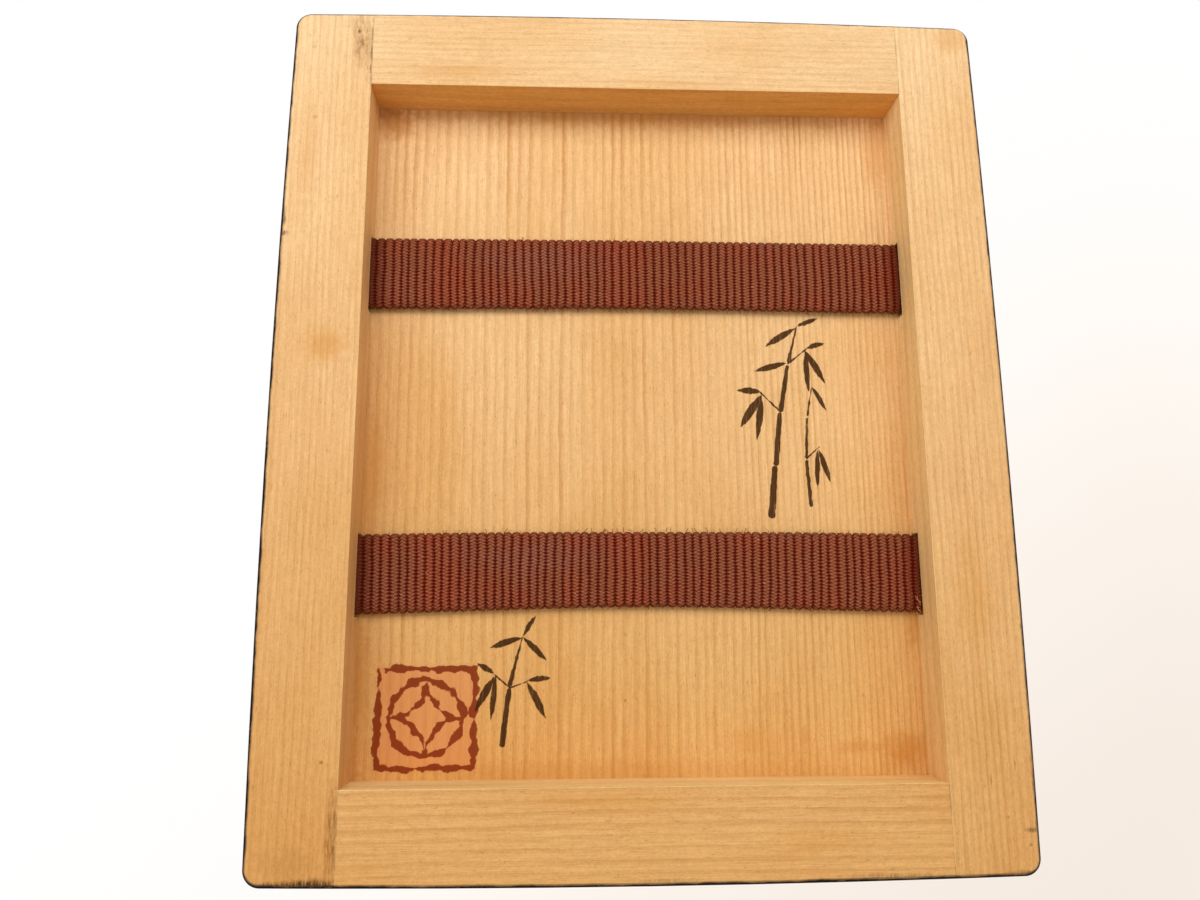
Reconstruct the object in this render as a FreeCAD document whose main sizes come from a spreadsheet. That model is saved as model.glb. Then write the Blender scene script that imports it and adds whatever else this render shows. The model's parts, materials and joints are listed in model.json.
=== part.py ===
import FreeCAD, Part
import math
import os
from types import SimpleNamespace

import Sketcher
from FreeCAD import Placement, Rotation, Vector

# A wooden box for an incense container. The case is four boards whose outer faces swell slightly,
# with a bottom board raised in grooves. The lid is a crowned board with four battens under it.
# A flat woven ribbon runs twice under the bottom, through slots in the side boards, up both sides
# and over the lid, where it is tied in a bow.
# The box stands on z = 0. X runs along the ribbon, Y along the side boards, and -Y is the front.

# Driving dimensions, in millimetres and degrees.
driving = {
    # case
    "innerWidth": 66.6,
    "innerLength": 83.5,
    "sideThick": 10.2,
    "endThick": 10.25,
    "wallHeight": 64.0,
    "sideSwell": 0.5,
    "endSwell": 0.45,
    "cornerRadius": 1.9,
    "footEase": 0.5,
    "rimEase": 0.4,
    # raised bottom
    "recessDepth": 5.75,
    "floorThick": 6.0,
    "tongueThick": 3.0,
    "grooveDepth": 3.0,
    "grooveGap": 0.1,
    # pegs in the case's corners
    "pegRadius": 1.5,
    "pegInSide": 6.0,
    "pegInEnd": 10.0,
    "pegGap": 0.05,
    # lid
    "lidThick": 8.5,
    "lidCrown": 0.6,
    "lidEdge": 1.3,
    "lidEdgeSoft": 0.4,
    "lidEase": 0.4,
    "battenWidth": 7.5,
    "battenDrop": 5.5,
    "battenGap": 0.5,
    "battenEase": 1.0,
    "lidPegRadius": 1.2,
    "lidPegRise": 4.5,
    "lidPegInset": 16.0,
    # ribbon
    "ribbonWidth": 9.1,
    "ribbonThick": 1.1,
    "ribbonPlace": 18.6,
    "ribbonLow": 4.4,
    "ribbonGap": 0.25,
    "slotBend": 0.3,
    "lidBend": 1.5,
    "lidPlace": 13.0,
    "slotSpare": 0.3,
    "slotBelow": 0.3,
    # bow
    "knotLength": 10.0,
    "knotWidth": 9.6,
    "knotHeight": 5.8,
    "knotRound": 1.8,
    "gatherWidth": 4.4,
    "gatherGap": 0.2,
    "loopReach": 31.0,
    "loopHeight": 5.2,
    "loopTurn": 9.0,
    "tailSpread": 19.0,
    "tailReach": 33.0,
    # cutters run past what they cut by this much
    "overrun": 2.0,
}
pegsPerCorner = 3

# Edges and corners that agree within this length are taken as the same height or length.
tolerance = 0.001
# Edges of a board that lie further out than this share of its thickness are on its outer face.
outerFaceShare = 0.75
# An edge whose direction rises less than this share of its length lies level.
levelShare = 0.5

doc = FreeCAD.newDocument("incense_box")
sheet = doc.addObject("Spreadsheet::Sheet", "sizes")
for row, (name, value) in enumerate(driving.items(), start=1):
    sheet.set(f"A{row}", name)
    sheet.set(f"B{row}", str(value))
    sheet.setAlias(f"B{row}", name)
doc.recompute()


# A size that carries its value and the sheet formula that it follows.
class Size:
    def __init__(self, value, formula):
        self.value = value
        self.formula = formula

    def joined(self, sign, other, value):
        return Size(value, f"({self.formula} {sign} {formulaOf(other)})")

    def __add__(self, other):
        return self.joined("+", other, self.value + valueOf(other))

    def __sub__(self, other):
        return self.joined("-", other, self.value - valueOf(other))

    def __mul__(self, other):
        return self.joined("*", other, self.value * valueOf(other))

    def __truediv__(self, other):
        return self.joined("/", other, self.value / valueOf(other))

    def __rmul__(self, other):
        return self * other

    def __neg__(self):
        return self * -1

    def root(self):
        return Size(math.sqrt(self.value), f"sqrt({self.formula})")


def valueOf(size):
    return size.value if isinstance(size, Size) else size


def formulaOf(size):
    return size.formula if isinstance(size, Size) else str(size)


size = SimpleNamespace(**{name: Size(sheet.get(name), "sizes." + name) for name in driving})

# Places worked out from the driving dimensions.
innerX = size.innerWidth / 2
innerY = size.innerLength / 2
caseX = innerX + size.sideThick
caseY = innerY + size.endThick
cornerX = caseX - size.sideSwell
cornerY = caseY - size.endSwell
sideArc = (cornerY * cornerY + size.sideSwell * size.sideSwell) / (2 * size.sideSwell)
endArc = (cornerX * cornerX + size.endSwell * size.endSwell) / (2 * size.endSwell)
joinY = caseY - endArc + (endArc * endArc - innerX * innerX).root()
floorTop = size.recessDepth + size.floorThick
pegY = innerY + size.endThick / 2
lidTop = size.wallHeight + size.lidThick
crownArc = (caseX * caseX + size.lidCrown * size.lidCrown) / (2 * size.lidCrown)
battenX = innerX - size.battenGap
battenY = innerY - size.battenGap
battenLow = size.wallHeight - size.battenDrop
ribbonHalf = size.ribbonWidth / 2
riserX = caseX + size.ribbonGap
slotBendTop = size.ribbonLow + size.ribbonThick + size.slotBend
lidBendX = riserX - size.lidBend
edgeZ = lidTop - size.lidCrown + size.ribbonGap
lidBendLow = edgeZ - size.lidBend
ribbonOnLid = lidTop + size.ribbonGap
loopLow = ribbonOnLid + size.ribbonThick + size.ribbonGap


def addBody(label):
    body = doc.addObject("PartDesign::Body", label)
    body.Label = label
    body.AllowCompound = True
    return body


# A sketch on one of the body's own origin planes, moved along the plane's normal by offset.
# XY looks along Z, XZ has its normal along -Y, and YZ has its normal along X.
def addSketch(body, plane, name, offset=None):
    sketch = body.newObject("Sketcher::SketchObject", name)
    support = next(item for item in body.Origin.OriginFeatures if item.Role == plane + "_Plane")
    sketch.AttachmentSupport = [(support, "")]
    sketch.MapMode = "FlatFace"
    if offset is not None:
        sketch.AttachmentOffset = Placement(Vector(0, 0, offset.value), Rotation())
        sketch.setExpression("AttachmentOffset.Base.z", offset.formula)
    return sketch


def bindConstraint(sketch, index, formula):
    sketch.renameConstraint(index, f"size{index}")
    sketch.setExpression(f"Constraints.size{index}", formula)


# Ties one point of a sketch to its two coordinates. A coordinate of plain 0 lies on the axis.
def tiePoint(sketch, curve, end, x, y):
    for kind, coordinate, axis in (("DistanceX", x, -2), ("DistanceY", y, -1)):
        if isinstance(coordinate, Size):
            made = Sketcher.Constraint(kind, -1, 1, curve, end, coordinate.value)
            bindConstraint(sketch, sketch.addConstraint(made), coordinate.formula)
        else:
            sketch.addConstraint(Sketcher.Constraint("PointOnObject", curve, end, axis))


# A closed outline through the corners, counter-clockwise. arcs gives the radius of the arc that
# leaves a corner, by the corner's number, and hollow names the arcs that curve into the outline.
def addOutline(sketch, corners, arcs=None, hollow=()):
    arcs = arcs or {}
    ends = []
    for number, start in enumerate(corners):
        stop = corners[(number + 1) % len(corners)]
        first = Vector(valueOf(start[0]), valueOf(start[1]), 0)
        last = Vector(valueOf(stop[0]), valueOf(stop[1]), 0)
        if number not in arcs:
            curve = sketch.addGeometry(Part.LineSegment(first, last), False)
            ends.append((curve, 1, 2))
            continue
        radius = arcs[number]
        turned = number in hollow
        if turned:
            first, last = last, first
        chord = last - first
        rise = math.sqrt(max(radius.value ** 2 - chord.Length ** 2 / 4, 0))
        centre = (first + last) * 0.5 + Vector(-chord.y, chord.x, 0).normalize() * rise
        startAngle = math.atan2(first.y - centre.y, first.x - centre.x)
        stopAngle = math.atan2(last.y - centre.y, last.x - centre.x)
        circle = Part.Circle(centre, Vector(0, 0, 1), radius.value)
        curve = sketch.addGeometry(Part.ArcOfCircle(circle, startAngle, stopAngle), False)
        made = Sketcher.Constraint("Radius", curve, radius.value)
        bindConstraint(sketch, sketch.addConstraint(made), radius.formula)
        ends.append((curve, 2, 1) if turned else (curve, 1, 2))
    for number, (curve, start, stop) in enumerate(ends):
        after, afterStart, _ = ends[(number + 1) % len(ends)]
        sketch.addConstraint(Sketcher.Constraint("Coincident", curve, stop, after, afterStart))
        tiePoint(sketch, curve, start, *corners[number])


def addRectangle(sketch, lowX, highX, lowY, highY):
    addOutline(sketch, [(lowX, lowY), (highX, lowY), (highX, highY), (lowX, highY)])


def addCircle(sketch, x, y, radius):
    circle = Part.Circle(Vector(valueOf(x), valueOf(y), 0), Vector(0, 0, 1), radius.value)
    curve = sketch.addGeometry(circle, False)
    made = Sketcher.Constraint("Radius", curve, radius.value)
    bindConstraint(sketch, sketch.addConstraint(made), radius.formula)
    tiePoint(sketch, curve, 3, x, y)


def addPad(body, sketch, length, name, middle=False):
    pad = body.newObject("PartDesign::Pad", name)
    pad.Profile = sketch
    pad.setExpression("Length", length.formula)
    if middle:
        pad.SideType = "Symmetric"
    doc.recompute()
    return pad


# Cuts along the sketch's normal, or against it when back is set. With no depth it cuts both ways.
def addPocket(body, sketch, name, depth=None, back=False):
    before = body.Shape.Volume
    pocket = body.newObject("PartDesign::Pocket", name)
    pocket.Profile = sketch
    if depth is None:
        pocket.Type = "ThroughAll"
        pocket.SideType = "Symmetric"
    else:
        pocket.setExpression("Length", depth.formula)
        pocket.Reversed = not back
    doc.recompute()
    if not body.Shape.Volume < before:
        raise RuntimeError(f"{body.Label}: {name} cuts nothing")
    return pocket


# Rounds or bevels the edges of the body's last feature that test picks by their middle point.
def addEdges(body, kind, edgeSize, name, test):
    tip = body.Tip
    picked = [
        f"Edge{number}"
        for number, edge in enumerate(tip.Shape.Edges, start=1)
        if test(edge, edge.valueAt((edge.FirstParameter + edge.LastParameter) / 2))
    ]
    if not picked:
        raise RuntimeError(f"{body.Label}: {name} finds no edge")
    dressed = body.newObject("PartDesign::" + kind, name)
    dressed.Base = (tip, picked)
    dressed.setExpression("Radius" if kind == "Fillet" else "Size", edgeSize.formula)
    doc.recompute()
    return dressed


def isUpright(edge):
    low, high = edge.Vertexes[0].Point, edge.Vertexes[-1].Point
    rise = abs(high.z - low.z)
    return rise > tolerance and high.sub(low).Length - rise < tolerance


# True for an edge that runs round the box rather than up it.
def isLying(edge):
    middle = (edge.FirstParameter + edge.LastParameter) / 2
    return abs(edge.tangentAt(middle).z) < levelShare


def isLevel(middle, height):
    return abs(middle.z - height.value) < tolerance


def turnBody(body, degrees):
    body.Placement = Placement(Vector(), Rotation(Vector(0, 0, 1), valueOf(degrees)))
    if isinstance(degrees, Size):
        body.setExpression("Placement.Rotation.Angle", degrees.formula)


# The pegs of a corner share the wall's height above the bottom board evenly.
def pegHeights():
    pitch = (size.wallHeight - floorTop) / pegsPerCorner
    return [floorTop + pitch * (number + 0.5) for number in range(pegsPerCorner)]


# Bevels the outer edges of a wall board at the foot and at the rim.
def easeWall(body, isOuter):
    addEdges(body, "Chamfer", size.footEase, "foot_edge",
             lambda edge, middle: isLevel(middle, 0 * size.footEase) and isOuter(middle))
    addEdges(body, "Chamfer", size.rimEase, "rim_edge",
             lambda edge, middle: isLevel(middle, size.wallHeight) and isOuter(middle))


# A side board runs the whole length of the case. It holds the groove for the bottom board,
# two ribbon slots and the outer halves of the corner pegs.
def makeSideBoard(label, degrees):
    body = addBody(label)
    plan = addSketch(body, "XY", "plan")
    corners = [(innerX, -joinY), (cornerX, -cornerY), (cornerX, cornerY), (innerX, joinY)]
    addOutline(plan, corners, {0: endArc, 1: sideArc, 2: endArc})
    addPad(body, plan, size.wallHeight, "board")
    outerX = innerX + size.sideThick / 2
    addEdges(body, "Fillet", size.cornerRadius, "corner",
             lambda edge, middle: isUpright(edge) and middle.x > outerX.value)
    easeWall(body, lambda middle: middle.x > innerX.value + size.rimEase.value)

    groove = addSketch(body, "XY", "groove_plan", size.recessDepth)
    reach = innerY + size.grooveDepth
    addRectangle(groove, innerX - size.overrun, innerX + size.grooveDepth, -reach, reach)
    addPocket(body, groove, "groove", size.tongueThick + size.grooveGap)

    slots = addSketch(body, "YZ", "slot_faces")
    half = ribbonHalf + size.slotSpare
    for end in (-1, 1):
        middle = size.ribbonPlace * end
        addRectangle(slots, middle - half, middle + half, size.ribbonLow - size.slotBelow, size.recessDepth)
    addPocket(body, slots, "ribbon_slots")

    holes = addSketch(body, "YZ", "peg_hole_faces", innerX)
    for height in pegHeights():
        for end in (-1, 1):
            addCircle(holes, pegY * end, height, size.pegRadius + size.pegGap)
    addPocket(body, holes, "peg_holes", size.pegInSide)
    turnBody(body, degrees)
    return body


# An end board stands between the side boards.
def makeEndBoard(label, degrees):
    body = addBody(label)
    plan = addSketch(body, "XY", "plan")
    addOutline(plan, [(-innerX, innerY), (innerX, innerY), (innerX, joinY), (-innerX, joinY)], {2: endArc})
    addPad(body, plan, size.wallHeight, "board")
    outerY = innerY + size.endThick * outerFaceShare
    easeWall(body, lambda middle: middle.y > outerY.value)

    groove = addSketch(body, "XY", "groove_plan", size.recessDepth)
    reach = innerX + size.overrun
    addRectangle(groove, -reach, reach, innerY - size.overrun, innerY + size.grooveDepth)
    addPocket(body, groove, "groove", size.tongueThick + size.grooveGap)

    for side, back in ((-1, False), (1, True)):
        holes = addSketch(body, "YZ", "peg_hole_faces", innerX * side)
        for height in pegHeights():
            addCircle(holes, pegY, height, size.pegRadius + size.pegGap)
        addPocket(body, holes, "peg_holes", size.pegInEnd, back)
    turnBody(body, degrees)
    return body


# The bottom board has a tongue all round, flush with its underside, that sits in the grooves.
def makeBottomBoard():
    body = addBody("bottom_board")
    outline = addSketch(body, "XY", "tongue_plan", size.recessDepth)
    tongue = size.grooveDepth - size.grooveGap
    addRectangle(outline, -(innerX + tongue), innerX + tongue, -(innerY + tongue), innerY + tongue)
    addPad(body, outline, size.tongueThick, "tongue")
    plan = addSketch(body, "XY", "board_plan", size.recessDepth)
    floorX = innerX - size.grooveGap
    floorY = innerY - size.grooveGap
    addRectangle(plan, -floorX, floorX, -floorY, floorY)
    addPad(body, plan, size.floorThick, "board")
    return body


# Three blind pegs in one corner, across the joint of a side board and an end board.
def makeCornerPegs(label, end, degrees):
    body = addBody(label)
    ends = addSketch(body, "YZ", "peg_ends", innerX - size.pegInEnd + size.pegGap)
    for height in pegHeights():
        addCircle(ends, pegY * end, height, size.pegRadius)
    addPad(body, ends, size.pegInEnd + size.pegInSide - 2 * size.pegGap, "pegs")
    turnBody(body, degrees)
    return body


lidEdges = ("left", "right", "front", "rear")


# The lid board has the case's outline. Its top is a shallow dome whose edge is bevelled twice.
def makeLidBoard():
    body = addBody("lid_board")
    plan = addSketch(body, "XY", "plan", size.wallHeight)
    corners = [(cornerX, -cornerY), (cornerX, cornerY), (-cornerX, cornerY), (-cornerX, -cornerY)]
    addOutline(plan, corners, {0: sideArc, 1: endArc, 2: sideArc, 3: endArc})
    addPad(body, plan, size.lidThick, "board")
    addEdges(body, "Fillet", size.cornerRadius, "corners", lambda edge, middle: isUpright(edge))

    crown = addSketch(body, "XZ", "crown_section")
    reach = caseX + size.overrun
    drop = crownArc - (crownArc * crownArc - reach * reach).root()
    over = lidTop + size.overrun
    axisZ = lidTop - crownArc
    addOutline(crown, [(-reach, lidTop - drop), (reach, lidTop - drop), (reach, over), (-reach, over)],
               {0: crownArc}, (0,))
    line = Part.LineSegment(Vector(0, axisZ.value, 0), Vector(reach.value, axisZ.value, 0))
    axis = crown.addGeometry(line, True)
    tiePoint(crown, axis, 1, 0, axisZ)
    tiePoint(crown, axis, 2, reach, axisZ)
    dome = body.newObject("PartDesign::Groove", "crown")
    dome.Profile = crown
    dome.ReferenceAxis = (crown, ["Axis0"])
    dome.Midplane = True
    dome.setExpression("Angle", f"2 * asin({((caseY + size.overrun) / crownArc).formula})")
    doc.recompute()
    isTopEdge = lambda edge, middle: middle.z > lidTop.value - size.lidThick.value / 2 and isLying(edge)
    addEdges(body, "Chamfer", size.lidEdge, "top_bevel", isTopEdge)
    addEdges(body, "Chamfer", size.lidEdgeSoft, "top_bevel_edges", isTopEdge)
    addEdges(body, "Chamfer", size.lidEase, "under_edge",
             lambda edge, middle: isLevel(middle, size.wallHeight))

    holes = addSketch(body, "XY", "peg_hole_faces", size.wallHeight)
    for edge in lidEdges:
        for x, y in lidPegPlaces(edge):
            addCircle(holes, x, y, size.lidPegRadius + size.pegGap)
    addPocket(body, holes, "peg_holes", size.lidPegRise)
    return body


# The two pegs of a batten, as places in plan.
def lidPegPlaces(edge):
    across = battenX - size.battenWidth / 2
    along = battenY - size.battenWidth / 2
    if edge in ("left", "right"):
        x = across * (1 if edge == "right" else -1)
        return [(x, size.lidPegInset * end) for end in (-1, 1)]
    y = along * (1 if edge == "rear" else -1)
    return [(size.lidPegInset * side, y) for side in (-1, 1)]


# Battens under the lid drop inside the walls and keep the lid in place.
# The left and right ones run the whole length, and the front and rear ones stand between them.
def makeBatten(edge):
    body = addBody("lid_batten_" + edge)
    plan = addSketch(body, "XY", "plan", battenLow)
    sideIn = battenX - size.battenWidth
    endIn = battenY - size.battenWidth
    spans = {
        "left": (-battenX, -sideIn, -battenY, battenY),
        "right": (sideIn, battenX, -battenY, battenY),
        "front": (-sideIn, sideIn, -battenY, -endIn),
        "rear": (-sideIn, sideIn, endIn, battenY),
    }
    addRectangle(plan, *spans[edge])
    addPad(body, plan, size.battenDrop, "batten")
    along = Vector(0, 1, 0) if edge in ("left", "right") else Vector(1, 0, 0)
    isLong = lambda side: abs(side.tangentAt(side.FirstParameter).dot(along)) > levelShare
    addEdges(body, "Chamfer", size.battenEase, "lead_in",
             lambda side, middle: isLevel(middle, battenLow) and isLong(side))
    holes = addSketch(body, "XY", "peg_hole_faces", battenLow)
    for x, y in lidPegPlaces(edge):
        addCircle(holes, x, y, size.lidPegRadius + size.pegGap)
    addPocket(body, holes, "peg_holes", size.battenDrop)
    return body


def makeLidPegs(edge):
    body = addBody("lid_pegs_" + edge)
    ends = addSketch(body, "XY", "peg_ends", battenLow)
    for x, y in lidPegPlaces(edge):
        addCircle(ends, x, y, size.lidPegRadius)
    addPad(body, ends, size.battenDrop + size.lidPegRise - size.pegGap, "pegs")
    return body


# One pass of the ribbon under the bottom, through both slots, with the two turns upwards.
def makeRibbonBottom(label, degrees):
    body = addBody(label)
    side = addSketch(body, "XZ", "ribbon_edge", size.ribbonPlace)
    outX = riserX + size.ribbonThick
    turnX = riserX - size.slotBend
    low = size.ribbonLow
    high = size.ribbonLow + size.ribbonThick
    corners = [
        (-turnX, low), (turnX, low), (outX, slotBendTop), (riserX, slotBendTop),
        (turnX, high), (-turnX, high), (-riserX, slotBendTop), (-outX, slotBendTop),
    ]
    outer = size.slotBend + size.ribbonThick
    addOutline(side, corners, {1: outer, 3: size.slotBend, 5: size.slotBend, 7: outer}, (3, 5))
    addPad(body, side, size.ribbonWidth, "ribbon", middle=True)
    turnBody(body, degrees)
    return body


# The ribbon's climb from a slot to the lid's edge leans towards the middle of the box.
def makeRibbonRiser(label, end, degrees):
    body = addBody(label)
    face = addSketch(body, "YZ", "ribbon_face", riserX)
    low = size.ribbonPlace * end
    high = size.lidPlace * end
    addOutline(face, [
        (low - ribbonHalf, slotBendTop), (low + ribbonHalf, slotBendTop),
        (high + ribbonHalf, lidBendLow), (high - ribbonHalf, lidBendLow),
    ])
    addPad(body, face, size.ribbonThick, "ribbon")
    turnBody(body, degrees)
    return body


# The ribbon from the lid's edge to the knot, where it is gathered to about half its width.
def makeRibbonTop(label, end, degrees):
    body = addBody(label)
    thick = size.ribbonThick
    knotX = size.knotLength / 2
    outX = riserX + thick
    nearLow = size.gatherGap / 2
    nearHigh = nearLow + size.gatherWidth
    farLow = size.lidPlace - ribbonHalf
    farHigh = size.lidPlace + ribbonHalf

    side = addSketch(body, "XZ", "ribbon_edge", -farHigh if end > 0 else nearLow)
    addOutline(side, [
        (knotX, ribbonOnLid), (lidBendX, edgeZ), (riserX, lidBendLow),
        (outX, lidBendLow), (lidBendX, edgeZ + thick), (knotX, ribbonOnLid + thick),
    ], {1: size.lidBend, 3: size.lidBend + thick}, (1,))
    addPad(body, side, farHigh - nearLow, "ribbon")

    taper = addSketch(body, "XY", "taper_plan")
    pastKnot = knotX - size.overrun
    pastEdge = outX + size.overrun
    pastLow = (nearLow - size.overrun) * end
    pastHigh = (farHigh + size.overrun) * end
    addOutline(taper, [
        (knotX, nearLow * end), (knotX, pastLow), (pastEdge, pastLow),
        (pastEdge, farLow * end), (lidBendX, farLow * end),
    ])
    addOutline(taper, [
        (knotX, nearHigh * end), (lidBendX, farHigh * end), (lidBendX, pastHigh),
        (pastKnot, pastHigh), (pastKnot, nearHigh * end),
    ])
    addPocket(body, taper, "taper")
    turnBody(body, degrees)
    return body


# The knot is the ribbon wrapped once round what it ties.
def makeKnot():
    body = addBody("bow_knot")
    section = addSketch(body, "YZ", "wrap_section")
    half = size.knotWidth / 2
    low, high, curve = ribbonOnLid, ribbonOnLid + size.knotHeight, size.knotRound
    corners = [
        (curve - half, low), (half - curve, low), (half, low + curve), (half, high - curve),
        (half - curve, high), (curve - half, high), (-half, high - curve), (-half, low + curve),
    ]
    addOutline(section, corners, {number: curve for number in (1, 3, 5, 7)})
    addPad(body, section, size.knotLength, "wrap", middle=True)
    return body


# A loop of the bow, seen from its edge: a flat lower run, a round end and an upper run that
# comes down to the knot.
def makeBowLoop(label, degrees):
    body = addBody(label)
    side = addSketch(body, "XZ", "loop_edge")
    thick = size.ribbonThick
    root = size.knotLength / 2 + size.ribbonGap + size.ribbonThick / 2
    outer = size.loopHeight / 2
    inner = outer - thick
    turnX = size.loopReach - outer
    high = loopLow + size.loopHeight
    addOutline(side, [
        (root, loopLow), (turnX, loopLow), (size.loopReach, loopLow + outer), (turnX, high),
        (root, loopLow + 2 * thick),
    ], {1: outer, 2: outer})
    addOutline(side, [
        (root + 2 * thick, loopLow + thick), (turnX, loopLow + thick),
        (turnX + inner, loopLow + outer), (turnX, high - thick),
    ], {1: inner, 2: inner})
    addPad(body, side, size.ribbonWidth, "loop", middle=True)
    turnBody(body, degrees)
    return body


# A tail of the bow lies on the lid in front of the knot and widens from the gather.
def makeBowTail(label, side):
    body = addBody(label)
    plan = addSketch(body, "XY", "plan", ribbonOnLid)
    inner = size.gatherGap / 2
    outer = inner + size.gatherWidth
    front = size.knotWidth / 2 + size.ribbonGap
    acrossX = size.tailSpread - (inner + outer) / 2
    acrossY = size.tailReach - front
    length = (acrossX * acrossX + acrossY * acrossY).root()
    turnX = ribbonHalf * acrossY / length
    turnY = ribbonHalf * acrossX / length
    corners = [
        (inner * side, -front), ((size.tailSpread - turnX) * side, -(size.tailReach + turnY)),
        ((size.tailSpread + turnX) * side, -(size.tailReach - turnY)), (outer * side, -front),
    ]
    addOutline(plan, corners)
    addPad(body, plan, size.ribbonThick, "tail")
    return body


parts = [
    makeSideBoard("side_board_right", 0),
    makeSideBoard("side_board_left", 180),
    makeEndBoard("end_board_rear", 0),
    makeEndBoard("end_board_front", 180),
    makeBottomBoard(),
    makeLidBoard(),
    makeKnot(),
    makeBowLoop("bow_loop_right", size.loopTurn),
    makeBowLoop("bow_loop_left", Size(180, "180") - size.loopTurn),
    makeBowTail("bow_tail_right", 1),
    makeBowTail("bow_tail_left", -1),
    makeRibbonBottom("ribbon_bottom_front", 0),
    makeRibbonBottom("ribbon_bottom_rear", 180),
]
# The left ones are the right ones turned half round, which swaps front and rear.
for side, degrees in (("right", 0), ("left", 180)):
    for end in (1, -1):
        place = ("rear_" if end > 0 else "front_") + side
        turned = end if side == "right" else -end
        parts.append(makeCornerPegs("corner_pegs_" + place, turned, degrees))
        parts.append(makeRibbonRiser("ribbon_riser_" + place, turned, degrees))
        parts.append(makeRibbonTop("ribbon_top_" + place, turned, degrees))
for edge in lidEdges:
    parts.append(makeBatten(edge))
    parts.append(makeLidPegs(edge))

doc.recompute()
for item in doc.Objects:
    if "Invalid" in item.State or "Error" in item.State:
        raise RuntimeError(f"{item.Label} failed: {item.State}")
for part in parts:
    if part.Shape.isNull() or not part.Shape.isValid():
        raise RuntimeError(f"{part.Label} has no valid shape")

os.makedirs("parts", exist_ok=True)
for part in parts:
    part.Shape.exportStep(f"parts/{part.Label}.step")
    print(part.Label, len(part.Shape.Solids), round(part.Shape.Volume, 2))
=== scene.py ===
import json
import math
import random
from bisect import bisect_right

import bpy
from mathutils import Matrix, Vector, noise

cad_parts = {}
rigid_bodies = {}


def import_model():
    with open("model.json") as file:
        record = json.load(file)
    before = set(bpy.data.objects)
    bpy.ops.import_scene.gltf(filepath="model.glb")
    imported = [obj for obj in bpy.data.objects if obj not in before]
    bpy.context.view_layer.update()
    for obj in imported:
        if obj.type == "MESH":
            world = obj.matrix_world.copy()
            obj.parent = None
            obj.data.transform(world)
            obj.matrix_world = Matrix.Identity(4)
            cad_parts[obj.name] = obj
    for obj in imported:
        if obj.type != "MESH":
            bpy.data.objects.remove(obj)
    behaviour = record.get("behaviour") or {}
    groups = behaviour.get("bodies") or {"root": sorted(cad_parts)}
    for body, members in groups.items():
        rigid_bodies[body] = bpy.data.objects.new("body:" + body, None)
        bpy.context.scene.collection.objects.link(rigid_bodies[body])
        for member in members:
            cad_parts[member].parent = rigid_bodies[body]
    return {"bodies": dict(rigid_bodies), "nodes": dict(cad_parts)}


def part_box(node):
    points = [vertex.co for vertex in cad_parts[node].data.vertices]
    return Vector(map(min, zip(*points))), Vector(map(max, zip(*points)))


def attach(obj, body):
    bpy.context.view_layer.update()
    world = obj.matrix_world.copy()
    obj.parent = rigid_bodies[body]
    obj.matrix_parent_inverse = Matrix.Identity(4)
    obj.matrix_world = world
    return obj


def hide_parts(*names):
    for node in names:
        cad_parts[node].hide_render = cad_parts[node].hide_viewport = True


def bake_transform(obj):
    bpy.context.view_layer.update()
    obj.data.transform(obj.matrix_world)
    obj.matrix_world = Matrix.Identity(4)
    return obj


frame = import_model()
nodes = frame["nodes"]
ownObjects = set(nodes.values()) | set(frame["bodies"].values())
for leftOver in set(bpy.data.objects) - ownObjects:
    bpy.data.objects.remove(leftOver)
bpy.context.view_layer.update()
print("frame loaded:", len(nodes), "nodes")

mm = 0.001


# A colour as it shows on a screen, 0 to 255, turned into the linear values that Blender mixes.
def tint(red, green, blue):
    def linear(level):
        share = level / 255
        return share / 12.92 if share <= 0.04045 else ((share + 0.055) / 1.055) ** 2.4
    return (linear(red), linear(green), linear(blue), 1.0)


def box(node):
    low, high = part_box(node)
    return low / mm, high / mm


# A new mesh object, whose vertices are in metres.
def addPiece(name, vertices, faces):
    mesh = bpy.data.meshes.new(name)
    mesh.from_pydata(vertices, [], faces)
    piece = bpy.data.objects.new(name, mesh)
    bpy.context.scene.collection.objects.link(piece)
    return piece


# Sizes read from the frame. Lengths here and below are in millimetres, unless a comment says more.
caseHalfX = box("side_board_right")[1].x
caseHalfY = box("end_board_rear")[1].y
innerHalfX = box("side_board_right")[0].x
innerHalfY = box("end_board_rear")[0].y
caseTop = box("side_board_right")[1].z
lidTop = box("lid_board")[1].z
panelLow = box("bottom_board")[0].z

outline = {
    "sideSwell": 0.5,        # how far a long side swells out at its middle
    "endSwell": 0.45,        # the same for a short side
    "cornerRadius": 1.9,
    "lidCrown": 0.6,         # how much higher the lid is in its middle than at its edge
}


# The photograph looks up at the bottom of the box from about ten centimetres below it. The place
# and the clip distances are in metres.
photoCamera = {
    "place": (0.0095, -0.0249, -0.1049),
    "forward": (-0.0417, 0.1903, 0.9808),
    "up": (0.0033, 0.9817, -0.1903),
    "lens": 27.65,
    "sensorWidth": 36.0,
    "clipStart": 0.004,
    "clipEnd": 50.0,
}


def makeCamera():
    data = bpy.data.cameras.new("photoCamera")
    data.lens = photoCamera["lens"]
    data.sensor_width = photoCamera["sensorWidth"]
    data.clip_start = photoCamera["clipStart"]
    data.clip_end = photoCamera["clipEnd"]
    forward = Vector(photoCamera["forward"]).normalized()
    up = Vector(photoCamera["up"])
    up = (up - forward * up.dot(forward)).normalized()
    right = forward.cross(up)
    camera = bpy.data.objects.new("photoCamera", data)
    turned = Matrix((right, up, -forward)).transposed().to_4x4()
    camera.matrix_world = Matrix.Translation(photoCamera["place"]) @ turned
    bpy.context.scene.collection.objects.link(camera)
    bpy.context.scene.camera = camera


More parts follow.
